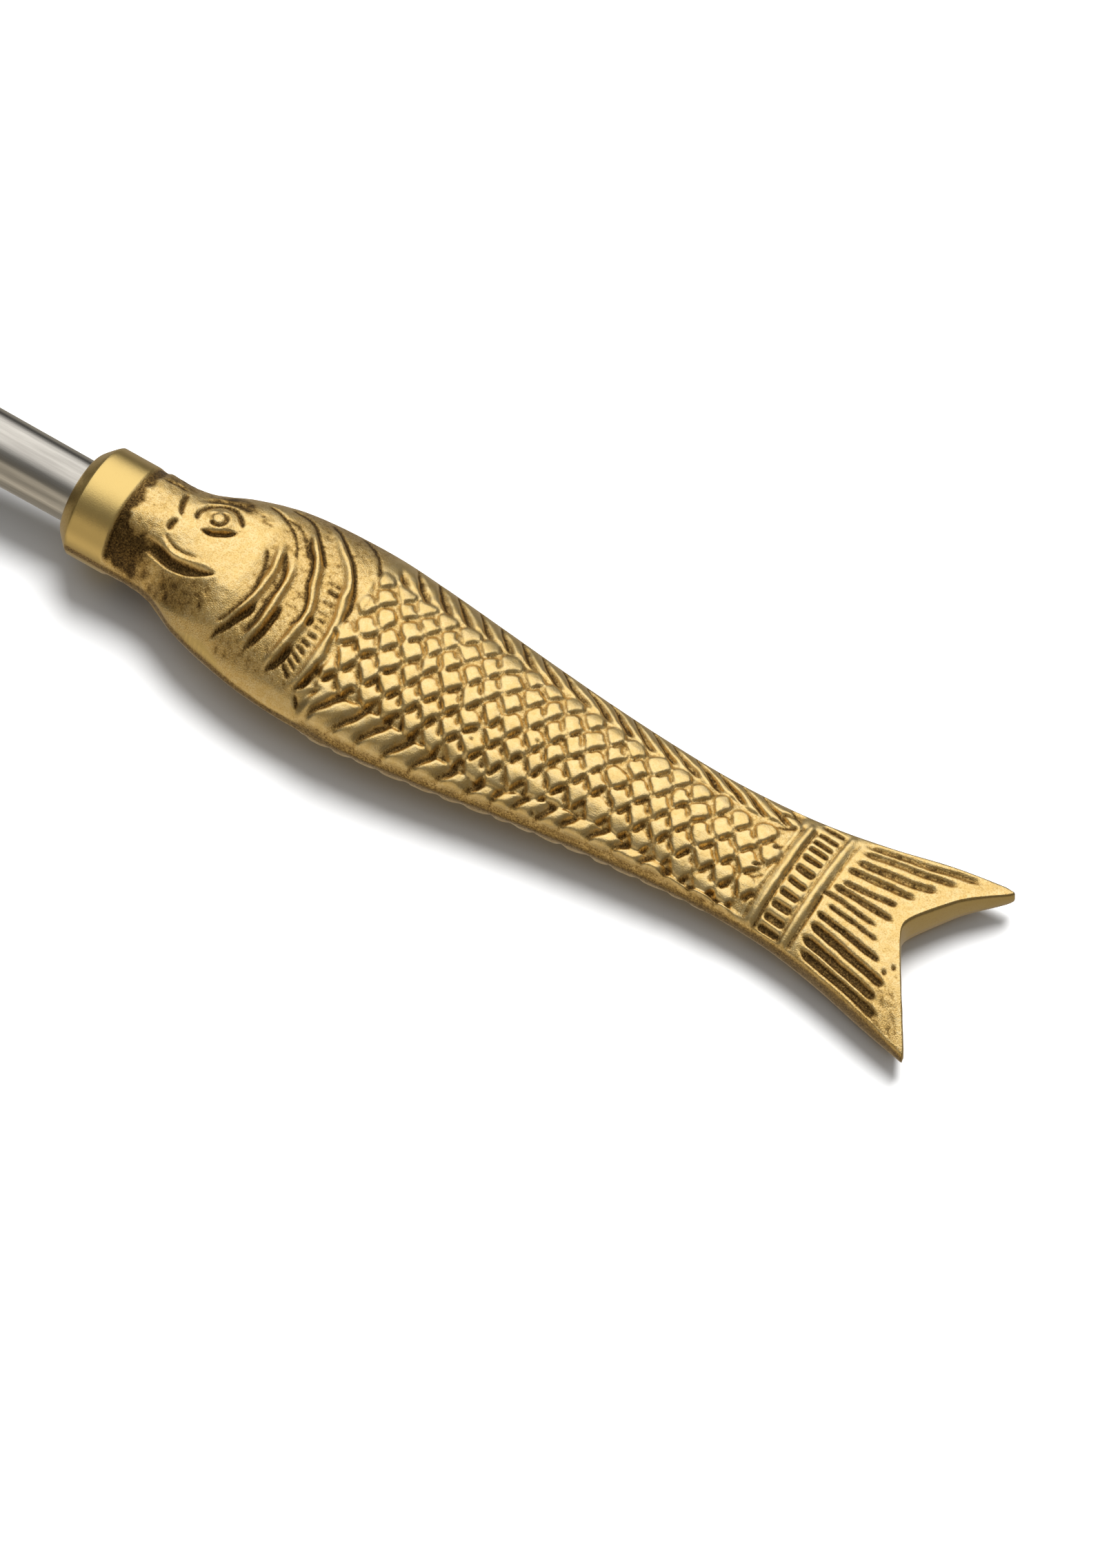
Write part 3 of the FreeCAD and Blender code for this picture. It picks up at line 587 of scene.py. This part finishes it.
def carve(x, y, seed):
    """The whole relief of one face: heights, patina with painted shade in it, and grain at points of the
    fish.
    """
    r = Relief(x, y, seed)
    shake = 0.4 + 0.6 * smooth(x, 30, 40) * (1 - smooth(x, 92, 95))
    r.x = x + shake * (0.3 * value_noise(x, y, 2.9, seed + 9) + 0.12 * value_noise(x, y, 1.1, seed + 10))
    r.y = y + shake * (0.24 * value_noise(x, y, 3.3, seed + 12) + 0.1 * value_noise(x, y, 1.2, seed + 13))
    carve_nose(r)
    carve_eye(r)
    carve_gills(r)
    carve_scales(r)
    carve_back_band(r)
    carve_belly_band(r)
    carve_tail(r)
    r.x, r.y = x, y
    r.height *= BOLDNESS
    lumps = value_noise(x, y, 1.7, seed + 5) * 0.5 + value_noise(x, y, 0.7, seed + 6) * 0.5
    worn = value_noise(x, y, 0.33, seed + 7)
    modelled = smooth(x, 8.0, 9.0)
    head = 1 - smooth(x, 30, 38)
    r.grain = np.maximum(r.grain, (0.4 + 0.25 * head) * modelled)
    r.height += modelled * (0.05 * lumps + (0.005 + 0.04 * r.grain**1.5) * worn)
    r.patina_and_shade = r.patina_and_shade + modelled * (0.34 * smooth(-worn, 0.0, 0.8) * r.grain - 0.06 + 0.1 * head)
    back, belly = half_widths(x)
    filed, file_marks = filing(x, y)
    edge = np.minimum(back - y, y + belly)
    fade = smooth(edge, 0.05, 0.45) * smooth(fork_x(y) - x, 0.25, 1.0)
    r.height *= fade * (1 - filed)
    r.height += file_marks
    r.patina_and_shade = r.patina_and_shade * (0.75 + 0.25 * (1 - filed)) * (1 - 0.9 * filed) * (0.25 + 0.75 * fade)
    # Painted shade: a brown strip along the belly's edge.
    belly_edge_painted_shade = (1 - smooth(y + belly, 0.3, 1.0)) * smooth(x, 30, 40) * (1 - smooth(x, 112, 118))
    r.patina_and_shade = r.patina_and_shade + 0.3 * belly_edge_painted_shade
    r.grain *= 1 - filed
    return r.height, r.patina_and_shade, r.grain, filed


# ---------------------------------------------------------------- the fish's mesh

TOP, BELLY_WALL, BOTTOM, BACK_WALL = range(4)
TOP_COUNT, BOTTOM_COUNT, WALL_COUNT = 111, 56, 4
TOP_SEED, BOTTOM_SEED, WALL_SEED, FORK_SEED = 11, 53, 90, 77
COLLAR_ENDS, SEAM_STARTS, COLLAR_COLUMNS, BODY_STEP, TAIL_COLUMNS = 7.4, 7.6, 12, 0.203, 80
TIP_SOFT = 0.35
BORE_RADIUS, BORE_DEPTH, CHAMFER = 3.2, 26.0, 1.7
# The chamfer's brown is painted shade.
BORE_DARK, CHAMFER_PAINTED_SHADE, COLLAR_CLEAN = 0.8, 0.26, 0.05
BORE_SHADE, FORK_SHADE = (BORE_DARK, 0.0, 1.0), (0.18, 0.15, 1.0)


def ring_layout():
    """For each point round the body: its face, and where on it. The top and bottom go from 1 at the back to
    -1 at the belly, and the walls from 1 at the top to -1 at the bottom."""
    down = np.arange(1, WALL_COUNT + 1) / (WALL_COUNT + 1)
    face = np.repeat((TOP, BELLY_WALL, BOTTOM, BACK_WALL), (TOP_COUNT, WALL_COUNT, BOTTOM_COUNT, WALL_COUNT))
    across_top, across_bottom = np.linspace(1, -1, TOP_COUNT), np.linspace(-1, 1, BOTTOM_COUNT)
    return face, np.concatenate([across_top, 1 - 2 * down, across_bottom, 2 * down - 1])


def body_columns():
    """Plain points of every ring from the end of the chamfer to the fork: arrays of column by ring point."""
    face, where = ring_layout()
    collar = np.linspace(FRONT + CHAMFER + 0.05, COLLAR_ENDS, COLLAR_COLUMNS)
    straight = np.concatenate([collar, np.arange(SEAM_STARTS, TAIL_STARTS, BODY_STEP)])
    steps = 1 - (1 - np.linspace(0, 1, TAIL_COLUMNS + 1)[1:]) ** 1.08
    flat_across = np.where(np.isin(face, (TOP, BOTTOM)), where, np.where(face == BELLY_WALL, -1.0, 1.0))
    x = np.repeat(straight[:, None], len(face), 1)
    tail = TAIL_STARTS + (TAIL_END - TAIL_STARTS) * np.repeat(steps[:, None], len(face), 1)
    for _ in range(12):
        y, _z = body_point(tail, flat_across[None, :])
        end = TAIL_END - TIP_SOFT * np.log1p(np.exp(np.clip((TAIL_END - fork_x(y)) / TIP_SOFT, -30, 30)))
        end = np.minimum(end, TAIL_END)
        tail = TAIL_STARTS + (end - TAIL_STARTS) * steps[:, None]
    x = np.vstack([x, tail])
    across = np.repeat(flat_across[None, :], len(x), 0)
    y, z = body_point(x, across)
    wall_side = np.isin(face, (BELLY_WALL, BACK_WALL))
    height = np.repeat(where[None, :], len(x), 0)
    wall = through(WALL, x)
    bulge = 0.16 * (1 - height**2)
    flat = smooth(x, ROUND_ENDS, FLAT_STARTS)
    wall_z = wall * height
    wall_y = np.sqrt(COLLAR_RADIUS**2 - wall_z**2) * (1 - flat) + (np.abs(y) + bulge) * flat
    y = np.where(wall_side, np.where(face == BELLY_WALL, -wall_y, wall_y), y)
    z = np.where(wall_side, wall_z, np.where(face == BOTTOM, -z, z))
    return face, x, y, z


def ring_normals(x, y, z):
    """Outward normals of a grid of column by ring point."""
    p = np.stack([x, y, z], -1)
    along = np.gradient(p, axis=0)
    round_way = np.roll(p, -1, axis=1) - np.roll(p, 1, axis=1)
    n = np.cross(round_way, along)
    n /= np.maximum(np.linalg.norm(n, axis=-1, keepdims=True), 1e-9)
    return n if np.mean(n[:, TOP_COUNT // 2, 2]) > 0 else -n


def eased(values):
    """The values with each one shared a little with its neighbours."""
    values = (np.roll(values, 1, 1) + 5 * values + np.roll(values, -1, 1)) / 7
    padded = np.pad(values, ((1, 1), (0, 0)), "edge")
    return (padded[:-2] + 5 * padded[1:-1] + padded[2:]) / 7


def shaped_body():
    """The ring points with the relief in, and the values that the brass reads."""
    face, x, y, z = body_columns()
    n = ring_normals(x, y, z)
    height, patina_and_shade, grain, filed = (np.zeros_like(x) for _ in range(4))
    for side, seed in ((TOP, TOP_SEED), (BOTTOM, BOTTOM_SEED)):
        here = face == side
        shape = x[:, here].shape
        parts = carve(x[:, here].ravel(), y[:, here].ravel(), seed)
        for whole, part in zip((height, patina_and_shade, grain, filed), parts):
            whole[:, here] = part.reshape(shape)
    # Painted shade: both walls are browned through their patina value, the belly's wall more than the back's.
    for side, dark in ((BELLY_WALL, 0.75), (BACK_WALL, 0.4)):
        here = face == side
        filed[:, here] = 1.0
        patina_and_shade[:, here] = dark
        wobble = value_noise(x[:, here], z[:, here] * 3, 2.2, WALL_SEED + side)
        height[:, here] = 0.05 * wobble * smooth(x[:, here], 9, 14)
    height, patina_and_shade, grain = (eased(values) for values in (height, patina_and_shade, grain))
    soft = height.copy()
    for _ in range(6):
        soft = (soft + np.roll(soft, 1, 1) + np.roll(soft, -1, 1)) / 3
        padded = np.pad(soft, ((1, 1), (0, 0)), "edge")
        soft = (padded[:-2] + padded[1:-1] + padded[2:]) / 3
    # Brown is added where the relief lies below its smoothed surroundings and taken off where it stands
    # above: partly the brass's own patina and wear, partly painted shade in the recesses.
    cavity = (soft - height) * (filed < 0.5)
    patina_and_shade = patina_and_shade + 1.1 * np.clip(cavity, 0, 0.3) - 0.8 * np.clip(-cavity, 0, 0.2)
    # The relief rises almost straight up where the body is flat, so that it doesn't bulge past the walls.
    upright = n * np.array([1.0, 0.15, 1.0])
    flat = (smooth(x, ROUND_ENDS, FLAT_STARTS) * np.isin(face, (TOP, BOTTOM)))[..., None]
    p = np.stack([x, y, z], -1) + (n * (1 - flat) + upright * flat) * height[..., None]
    return face, p, patina_and_shade, grain, filed


def collar_profile():
    """The rings from the bore's end over the collar's face to the end of its chamfer: x, radius, and patina,
    which on the chamfer is painted shade.
    """
    face_radius = COLLAR_RADIUS - CHAMFER
    rings = [
        (FRONT + BORE_DEPTH, BORE_RADIUS, BORE_DARK),
        (FRONT + 4, BORE_RADIUS, BORE_DARK),
        (FRONT + 0.25, BORE_RADIUS, BORE_DARK),
        (FRONT, BORE_RADIUS + 0.25, COLLAR_CLEAN),
        (FRONT, (BORE_RADIUS + face_radius) / 2, COLLAR_CLEAN),
        (FRONT, face_radius - 0.15, CHAMFER_PAINTED_SHADE),
        (FRONT + 0.06, face_radius + 0.02, CHAMFER_PAINTED_SHADE),
    ]
    for k in range(1, 8):
        t = k / 8
        swell = 0.05 * math.sin(math.pi * t)
        rings.append((FRONT + CHAMFER * t, face_radius + CHAMFER * t + swell, CHAMFER_PAINTED_SHADE))
    rings.append((FRONT + CHAMFER, COLLAR_RADIUS - 0.03, COLLAR_CLEAN))
    return np.array(rings)


def fork_wall(ring, end, total):
    """The wall of the fork, between the tail's top and bottom edges: new points and faces. The last ring's
    points are numbered in ring and placed in end, and the new ones are numbered from total."""
    parts = [TOP_COUNT, TOP_COUNT + WALL_COUNT, TOP_COUNT + WALL_COUNT + BOTTOM_COUNT]
    top, belly_wall, bottom, back_wall = np.split(ring, parts)
    top_points, _belly, bottom_points, _back = np.split(end, parts)
    bottom, back_wall, bottom_points = bottom[::-1], back_wall[::-1], bottom_points[::-1]
    spread, coarse = np.linspace(0, 1, TOP_COUNT), np.linspace(0, 1, BOTTOM_COUNT)
    under = np.stack([np.interp(spread, coarse, bottom_points[:, c]) for c in range(3)], -1)
    points, faces, grid = [], [], [top]
    for k in range(WALL_COUNT):
        t = (k + 1) / (WALL_COUNT + 1)
        level = top_points * (1 - t) + under * t
        push = 4 * t * (1 - t) * 0.22
        wave = value_noise(level[:, 1], level[:, 2] * 2, 1.3, FORK_SEED) * 0.05
        level = level + np.array([1.0, 0, 0]) * (push + wave)[:, None]
        level[:, 0] = np.minimum(level[:, 0], TAIL_END)
        made = np.arange(total, total + TOP_COUNT - 2)
        total += len(made)
        points.append(level[1:-1])
        grid.append(np.concatenate([[back_wall[k]], made, [belly_wall[k]]]))
    for upper, lower in zip(grid[:-1], grid[1:]):
        faces += np.stack([upper[:-1], lower[:-1], lower[1:], upper[1:]], -1).tolist()
    above = grid[-1]
    for k in range(BOTTOM_COUNT - 1):
        a, b, c = (int(v) for v in above[2 * k:2 * k + 3])
        d, e = int(bottom[k]), int(bottom[k + 1])
        faces += [[a, d, b], [b, d, e], [b, e, c]]
    return np.concatenate(points), faces


def fish_mesh():
    """The whole fish as one closed mesh: bore, collar face, chamfer, body, and the wall of the fork. With it
    come the patina with its painted shade, the grain and the filing of each point."""
    face, body, patina_and_shade, grain, filed = shaped_body()
    count = len(face)
    angle = np.arctan2(body[0, :, 2], body[0, :, 1])
    circle = np.stack([np.zeros(count), np.cos(angle), np.sin(angle)], -1)
    profile = collar_profile()
    collar = np.array([circle * radius + np.array([x, 0, 0]) for x, radius, _dark in profile])
    rows = np.concatenate([collar, body])
    plain = np.repeat(profile[:, 2:], count, 1)
    patina_and_shade = np.concatenate([plain, patina_and_shade])
    grain = np.concatenate([np.zeros_like(plain), grain])
    filed = np.concatenate([np.ones_like(plain), filed])
    shades = np.stack([patina_and_shade.ravel(), grain.ravel(), filed.ravel()], -1)
    index = np.arange(len(rows) * count).reshape(len(rows), count)
    a, b = index[:-1], index[1:]
    faces = np.stack([a, b, np.roll(b, -1, 1), np.roll(a, -1, 1)], -1).reshape(-1, 4).tolist()
    centre = index.size
    bore = index[0].tolist()
    faces += [[centre, one, other] for one, other in zip(bore, bore[1:] + bore[:1])]
    wall_points, wall_faces = fork_wall(index[-1], rows[-1], centre + 1)
    points = np.concatenate([rows.reshape(-1, 3), [[FRONT + BORE_DEPTH, 0, 0]], wall_points])
    shades = np.concatenate([shades, [BORE_SHADE], np.tile(FORK_SHADE, (len(wall_points), 1))])
    return points, faces + wall_faces, shades


def make_fish():
    """The brass fish as an object, standing for the CAD's handle."""
    points, faces, values = fish_mesh()
    points[:, 1] = np.clip(points[:, 1], handle_low[1], handle_high[1])
    points[:, 2] = np.clip(points[:, 2], -COLLAR_RADIUS, COLLAR_RADIUS)
    points[:, 0] = np.clip(points[:, 0], FRONT, TAIL_END)
    mesh = bpy.data.meshes.new("fish_handle")
    mesh.from_pydata(((points + FISH_ZERO) * MM).tolist(), [], faces)
    mesh.update()
    for column, name in enumerate(("patina_and_shade", "grain", "filed")):
        layer = mesh.attributes.new(name, "FLOAT", "POINT")
        layer.data.foreach_set("value", np.clip(values[:, column], 0, 1).astype(np.float32))
    mesh.polygons.foreach_set("use_smooth", [True] * len(mesh.polygons))
    made = bpy.data.objects.new("fish_casting", mesh)
    bpy.context.collection.objects.link(made)
    return made


# ---------------------------------------------------------------- materials


class Nodes:
    """Short calls for building a material."""

    def __init__(self, name):
        self.material = bpy.data.materials.new(name)
        self.material.use_nodes = True
        self.tree = self.material.node_tree
        self.shader = self.tree.nodes["Principled BSDF"]

    def node(self, kind, **settings):
        made = self.tree.nodes.new(kind)
        for name, value in settings.items():
            setattr(made, name, value)
        return made

    def link(self, source, target):
        self.tree.links.new(source, target)

    def feed(self, socket, value):
        """Links a socket, or sets a plain value."""
        if isinstance(value, bpy.types.NodeSocket):
            self.link(value, socket)
        else:
            socket.default_value = value

    def math(self, operation, a, b):
        made = self.node("ShaderNodeMath", operation=operation)
        self.feed(made.inputs[0], a)
        self.feed(made.inputs[1], b)
        return made.outputs[0]

    def attribute(self, name):
        return self.node("ShaderNodeAttribute", attribute_name=name).outputs["Fac"]

    def place(self, stretch):
        """Coordinates fixed to the object, in metres, squeezed as asked."""
        mapping = self.node("ShaderNodeMapping")
        mapping.inputs["Scale"].default_value = stretch
        self.link(self.node("ShaderNodeTexCoord").outputs["Object"], mapping.inputs["Vector"])
        return mapping.outputs[0]

    def noise(self, scale, detail, roughness, stretch=(1, 1, 1)):
        made = self.node("ShaderNodeTexNoise")
        self.link(self.place(stretch), made.inputs["Vector"])
        made.inputs["Scale"].default_value = scale
        made.inputs["Detail"].default_value = detail
        made.inputs["Roughness"].default_value = roughness
        return made.outputs["Fac"]

    def span(self, value, low, high, out_low=0.0, out_high=1.0):
        made = self.node("ShaderNodeMapRange", interpolation_type="SMOOTHSTEP")
        for k, v in enumerate((value, low, high, out_low, out_high)):
            self.feed(made.inputs[k], v)
        return made.outputs[0]

    def blend(self, factor, first, second):
        made = self.node("ShaderNodeMix", data_type="RGBA")
        self.feed(made.inputs[0], factor)
        self.feed(made.inputs[6], first)
        self.feed(made.inputs[7], second)
        return made.outputs[2]

    def bump(self, height, distance, strength, normal=None):
        made = self.node("ShaderNodeBump")
        made.inputs["Strength"].default_value = strength
        made.inputs["Distance"].default_value = distance
        self.link(height, made.inputs["Height"])
        if normal is not None:
            self.link(normal, made.inputs["Normal"])
        return made.outputs[0]


def from_srgb(red, green, blue):
    """A display colour, 0 to 255, as the shader's linear one."""
    def straight(c):
        c = c / 255
        return c / 12.92 if c <= 0.04045 else ((c + 0.055) / 1.055) ** 2.4

    return (straight(red), straight(green), straight(blue), 1.0)


BRASS = from_srgb(238, 210, 150)
BRASS_WARM = from_srgb(232, 199, 130)
BRASS_FILED = from_srgb(219, 189, 119)
TARNISH_AND_SHADE = from_srgb(203, 162, 88)
PATINA_AND_SHADE = from_srgb(78, 54, 26)
DEEP_PATINA_AND_SHADE = from_srgb(38, 26, 14)
STEEL, STEEL_MARKS = from_srgb(198, 193, 184), from_srgb(172, 167, 159)
WELD, WELD_BROWN = from_srgb(150, 143, 134), from_srgb(118, 108, 98)
EPOXY = from_srgb(52, 46, 36)


def brass_material():
    """Cast brass: pale and flecked on the high spots, brown in the hollows and wherever shade is painted, and
    plainer where it is filed.
    """
    m = Nodes("cast_brass")
    patina_and_shade, grain, filed = m.attribute("patina_and_shade"), m.attribute("grain"), m.attribute("filed")
    speckle = m.noise(4200, 4, 0.8)
    cloud = m.noise(900, 4, 0.7)
    bright = m.blend(m.span(cloud, 0.35, 0.65), BRASS, BRASS_WARM)
    bright = m.blend(filed, bright, BRASS_FILED)
    # These browns follow the patina value, so they lay painted shade wherever that value carries it.
    broken = m.math("ADD", patina_and_shade, m.math("MULTIPLY", m.math("SUBTRACT", speckle, 0.5), 1.6))
    stain_and_shade = m.span(broken, 0.3, 1.0)
    stain_and_shade = m.math("MULTIPLY", stain_and_shade, m.span(patina_and_shade, 0.02, 0.3))
    tarnished_and_shaded = m.blend(m.span(broken, 0.08, 0.75, 0.0, 0.75), bright, TARNISH_AND_SHADE)
    fleck = m.span(m.noise(4600, 3, 0.9), 0.49, 0.58, 0.0, 0.8)
    fleck = m.math("MULTIPLY", fleck, m.span(grain, 0.1, 0.8))
    tarnished_and_shaded = m.blend(fleck, tarnished_and_shaded, TARNISH_AND_SHADE)
    colour = m.blend(m.math("MULTIPLY", stain_and_shade, 0.85), tarnished_and_shaded, PATINA_AND_SHADE)
    colour = m.blend(m.span(broken, 0.8, 1.3), colour, DEEP_PATINA_AND_SHADE)
    m.link(colour, m.shader.inputs["Base Color"])
    m.shader.inputs["Metallic"].default_value = 1.0
    rough = m.math("ADD", 0.3, m.math("MULTIPLY", stain_and_shade, 0.2))
    rough = m.math("ADD", rough, m.math("MULTIPLY", m.math("SUBTRACT", cloud, 0.5), 0.12))
    m.link(rough, m.shader.inputs["Roughness"])
    pitted = m.math("MULTIPLY", m.noise(6500, 2, 0.5), m.math("ADD", 0.2, grain))
    brushed = m.math("MULTIPLY", m.noise(900, 3, 0.6, (6, 1, 1)), filed)
    first = m.bump(pitted, 0.00006, 1.0)
    m.link(m.bump(brushed, 0.00003, 0.6, first), m.shader.inputs["Normal"])
    return m.material


def steel_material(name, stretch, roughness):
    """Brushed steel with its marks along one way."""
    m = Nodes(name)
    marks = m.noise(1100, 4, 0.65, stretch)
    colour = m.blend(m.span(marks, 0.3, 0.7), STEEL, STEEL_MARKS)
    m.link(colour, m.shader.inputs["Base Color"])
    m.shader.inputs["Metallic"].default_value = 1.0
    m.link(m.math("ADD", roughness, m.math("MULTIPLY", m.math("SUBTRACT", marks, 0.5), 0.15)),
           m.shader.inputs["Roughness"])
    m.link(m.bump(marks, 0.00002, 0.5), m.shader.inputs["Normal"])
    return m.material


def weld_material():
    """The weld's bead: steel, browned by heat."""
    m = Nodes("weld_steel")
    ripple = m.noise(1500, 2, 0.5, (0.4, 1, 1))
    colour = m.blend(m.span(ripple, 0.35, 0.65), WELD, WELD_BROWN)
    m.link(colour, m.shader.inputs["Base Color"])
    m.shader.inputs["Metallic"].default_value = 1.0
    m.shader.inputs["Roughness"].default_value = 0.42
    m.link(m.bump(ripple, 0.0001, 0.6), m.shader.inputs["Normal"])
    return m.material


def epoxy_material():
    """The dark set resin in the socket."""
    m = Nodes("set_epoxy")
    m.shader.inputs["Base Color"].default_value = EPOXY
    m.shader.inputs["Roughness"].default_value = 0.5
    return m.material


def dress(node, material):
    """Gives a CAD node a material for its looks."""
    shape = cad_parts[node]
    shape.data.materials.clear()
    shape.data.materials.append(material)
    return shape


# ---------------------------------------------------------------- the object

fish = make_fish()
fish.data.materials.append(brass_material())
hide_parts("fish_handle")
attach(fish, "root")
dress("shank", steel_material("shank_steel", (0.06, 1, 1), 0.2))
dress("opener_head", steel_material("plate_steel", (0.08, 1, 1), 0.34))
dress("weld_ring", weld_material())
dress("epoxy_bond", epoxy_material())

# ---------------------------------------------------------------- floor, light and camera

FLOOR_SIZE = 1.6
FLOOR_TILT = math.radians(2.0)
FLOOR_GREY = (0.6, 0.6, 0.6, 1)
WARM_SIDE, GLOW_SIDE = (1, 0.92, 0.78, 1), (1, 1, 1, 1)


def make_floor():
    """A plain pale floor, tilted to run close under the collar and the tail. The metal doesn't mirror it."""
    half = FLOOR_SIZE / 2
    touch = Vector(((handle_low[0] + 2.0) * MM, 0, -0.0002))
    rise = math.tan(FLOOR_TILT)
    corners = [(touch.x + sx * half, sy * half, touch.z + sx * half * rise) for sx, sy in
               ((-1, -1), (1, -1), (1, 1), (-1, 1))]
    mesh = bpy.data.meshes.new("floor")
    mesh.from_pydata(corners, [], [(0, 1, 2, 3)])
    floor = bpy.data.objects.new("floor", mesh)
    bpy.context.collection.objects.link(floor)
    m = Nodes("floor_white")
    m.shader.inputs["Base Color"].default_value = FLOOR_GREY
    m.shader.inputs["Roughness"].default_value = 0.9
    m.shader.inputs["Specular IOR Level"].default_value = 0.0
    mesh.materials.append(m.material)
    floor.visible_glossy = False
    return floor


def make_world():
    """A dim room with a broad glow over the fish's back, and weaker light from the belly's side and below. It
    is a little warm away from the glow."""
    world = bpy.data.worlds.new("studio")
    bpy.context.scene.world = world
    world.use_nodes = True
    tree = world.node_tree
    background = tree.nodes["Background"]

    def node(kind, **settings):
        made = tree.nodes.new(kind)
        for name, value in settings.items():
            setattr(made, name, value)
        return made

    direction = node("ShaderNodeTexCoord").outputs["Generated"]

    def lobe(axis, low, high, start, end):
        dot = node("ShaderNodeVectorMath", operation="DOT_PRODUCT")
        tree.links.new(direction, dot.inputs[0])
        dot.inputs[1].default_value = Vector(axis).normalized()
        span = node("ShaderNodeMapRange", interpolation_type="SMOOTHSTEP")
        tree.links.new(dot.outputs["Value"], span.inputs[0])
        for k, v in enumerate((low, high, start, end)):
            span.inputs[k + 1].default_value = v
        return span.outputs[0]

    def combine(operation, a, b):
        made = node("ShaderNodeMath", operation=operation)
        tree.links.new(a, made.inputs[0])
        tree.links.new(b, made.inputs[1])
        return made.outputs[0]

    room = lobe((0, 0, 1), -0.1, 0.35, 0.04, 0.21)
    glow = lobe((-0.3, 0.545, 0.84), 0.46, 0.92, 0.0, 1.2)
    front = lobe((-0.2, -0.95, -0.12), 0.75, 0.93, 0.0, 0.44)
    ground = lobe((0, 0, -1), 0.1, 0.5, 0.0, 0.33)
    light = combine("ADD", combine("ADD", room, glow), combine("ADD", front, ground))
    tree.links.new(light, background.inputs["Strength"])
    tint = node("ShaderNodeMix", data_type="RGBA")
    tree.links.new(lobe((-0.3, 0.5, 0.8), -0.1, 0.7, 0.0, 1.0), tint.inputs[0])
    tint.inputs[6].default_value = WARM_SIDE
    tint.inputs[7].default_value = GLOW_SIDE
    tree.links.new(tint.outputs[2], background.inputs["Color"])


KEY_DIRECTION, KEY_DISTANCE, KEY_SIZE, KEY_POWER = (-0.15, 0.55, 0.85), 1.2, 0.8, 38
CAMERA_AZIMUTH, CAMERA_RISE = math.radians(32.0), math.radians(63.51)
CAMERA_DISTANCE, CAMERA_LENS = 1.486, 300
CAMERA_TARGET = Vector((50.09 * MM, -2.58 * MM, 6.95 * MM))


def make_camera():
    """A long lens looking down on the fish from its belly's side."""
    data = bpy.data.cameras.new("camera")
    data.lens, data.sensor_width = CAMERA_LENS, 36
    camera = bpy.data.objects.new("camera", data)
    bpy.context.collection.objects.link(camera)
    back = Vector((math.sin(CAMERA_AZIMUTH) * math.cos(CAMERA_RISE),
                   -math.cos(CAMERA_AZIMUTH) * math.cos(CAMERA_RISE), math.sin(CAMERA_RISE)))
    camera.location = CAMERA_TARGET + back * CAMERA_DISTANCE
    camera.rotation_mode = "QUATERNION"
    camera.rotation_quaternion = (-back).to_track_quat("-Z", "Y")
    bpy.context.scene.camera = camera


def make_key_light():
    """A soft lamp over the back of the fish. It lights the floor and casts the shadow by the belly."""
    lamp = bpy.data.lights.new("key", "AREA")
    lamp.shape = "DISK"
    lamp.size = KEY_SIZE
    lamp.energy = KEY_POWER
    key = bpy.data.objects.new("key", lamp)
    bpy.context.collection.objects.link(key)
    away = Vector(KEY_DIRECTION).normalized()
    key.location = CAMERA_TARGET + away * KEY_DISTANCE
    key.rotation_mode = "QUATERNION"
    key.rotation_quaternion = (-away).to_track_quat("-Z", "Y")
    key.visible_glossy = False
    key.visible_camera = False


make_floor()
make_world()
make_key_light()
make_camera()
bpy.context.scene.view_settings.view_transform = "Standard"
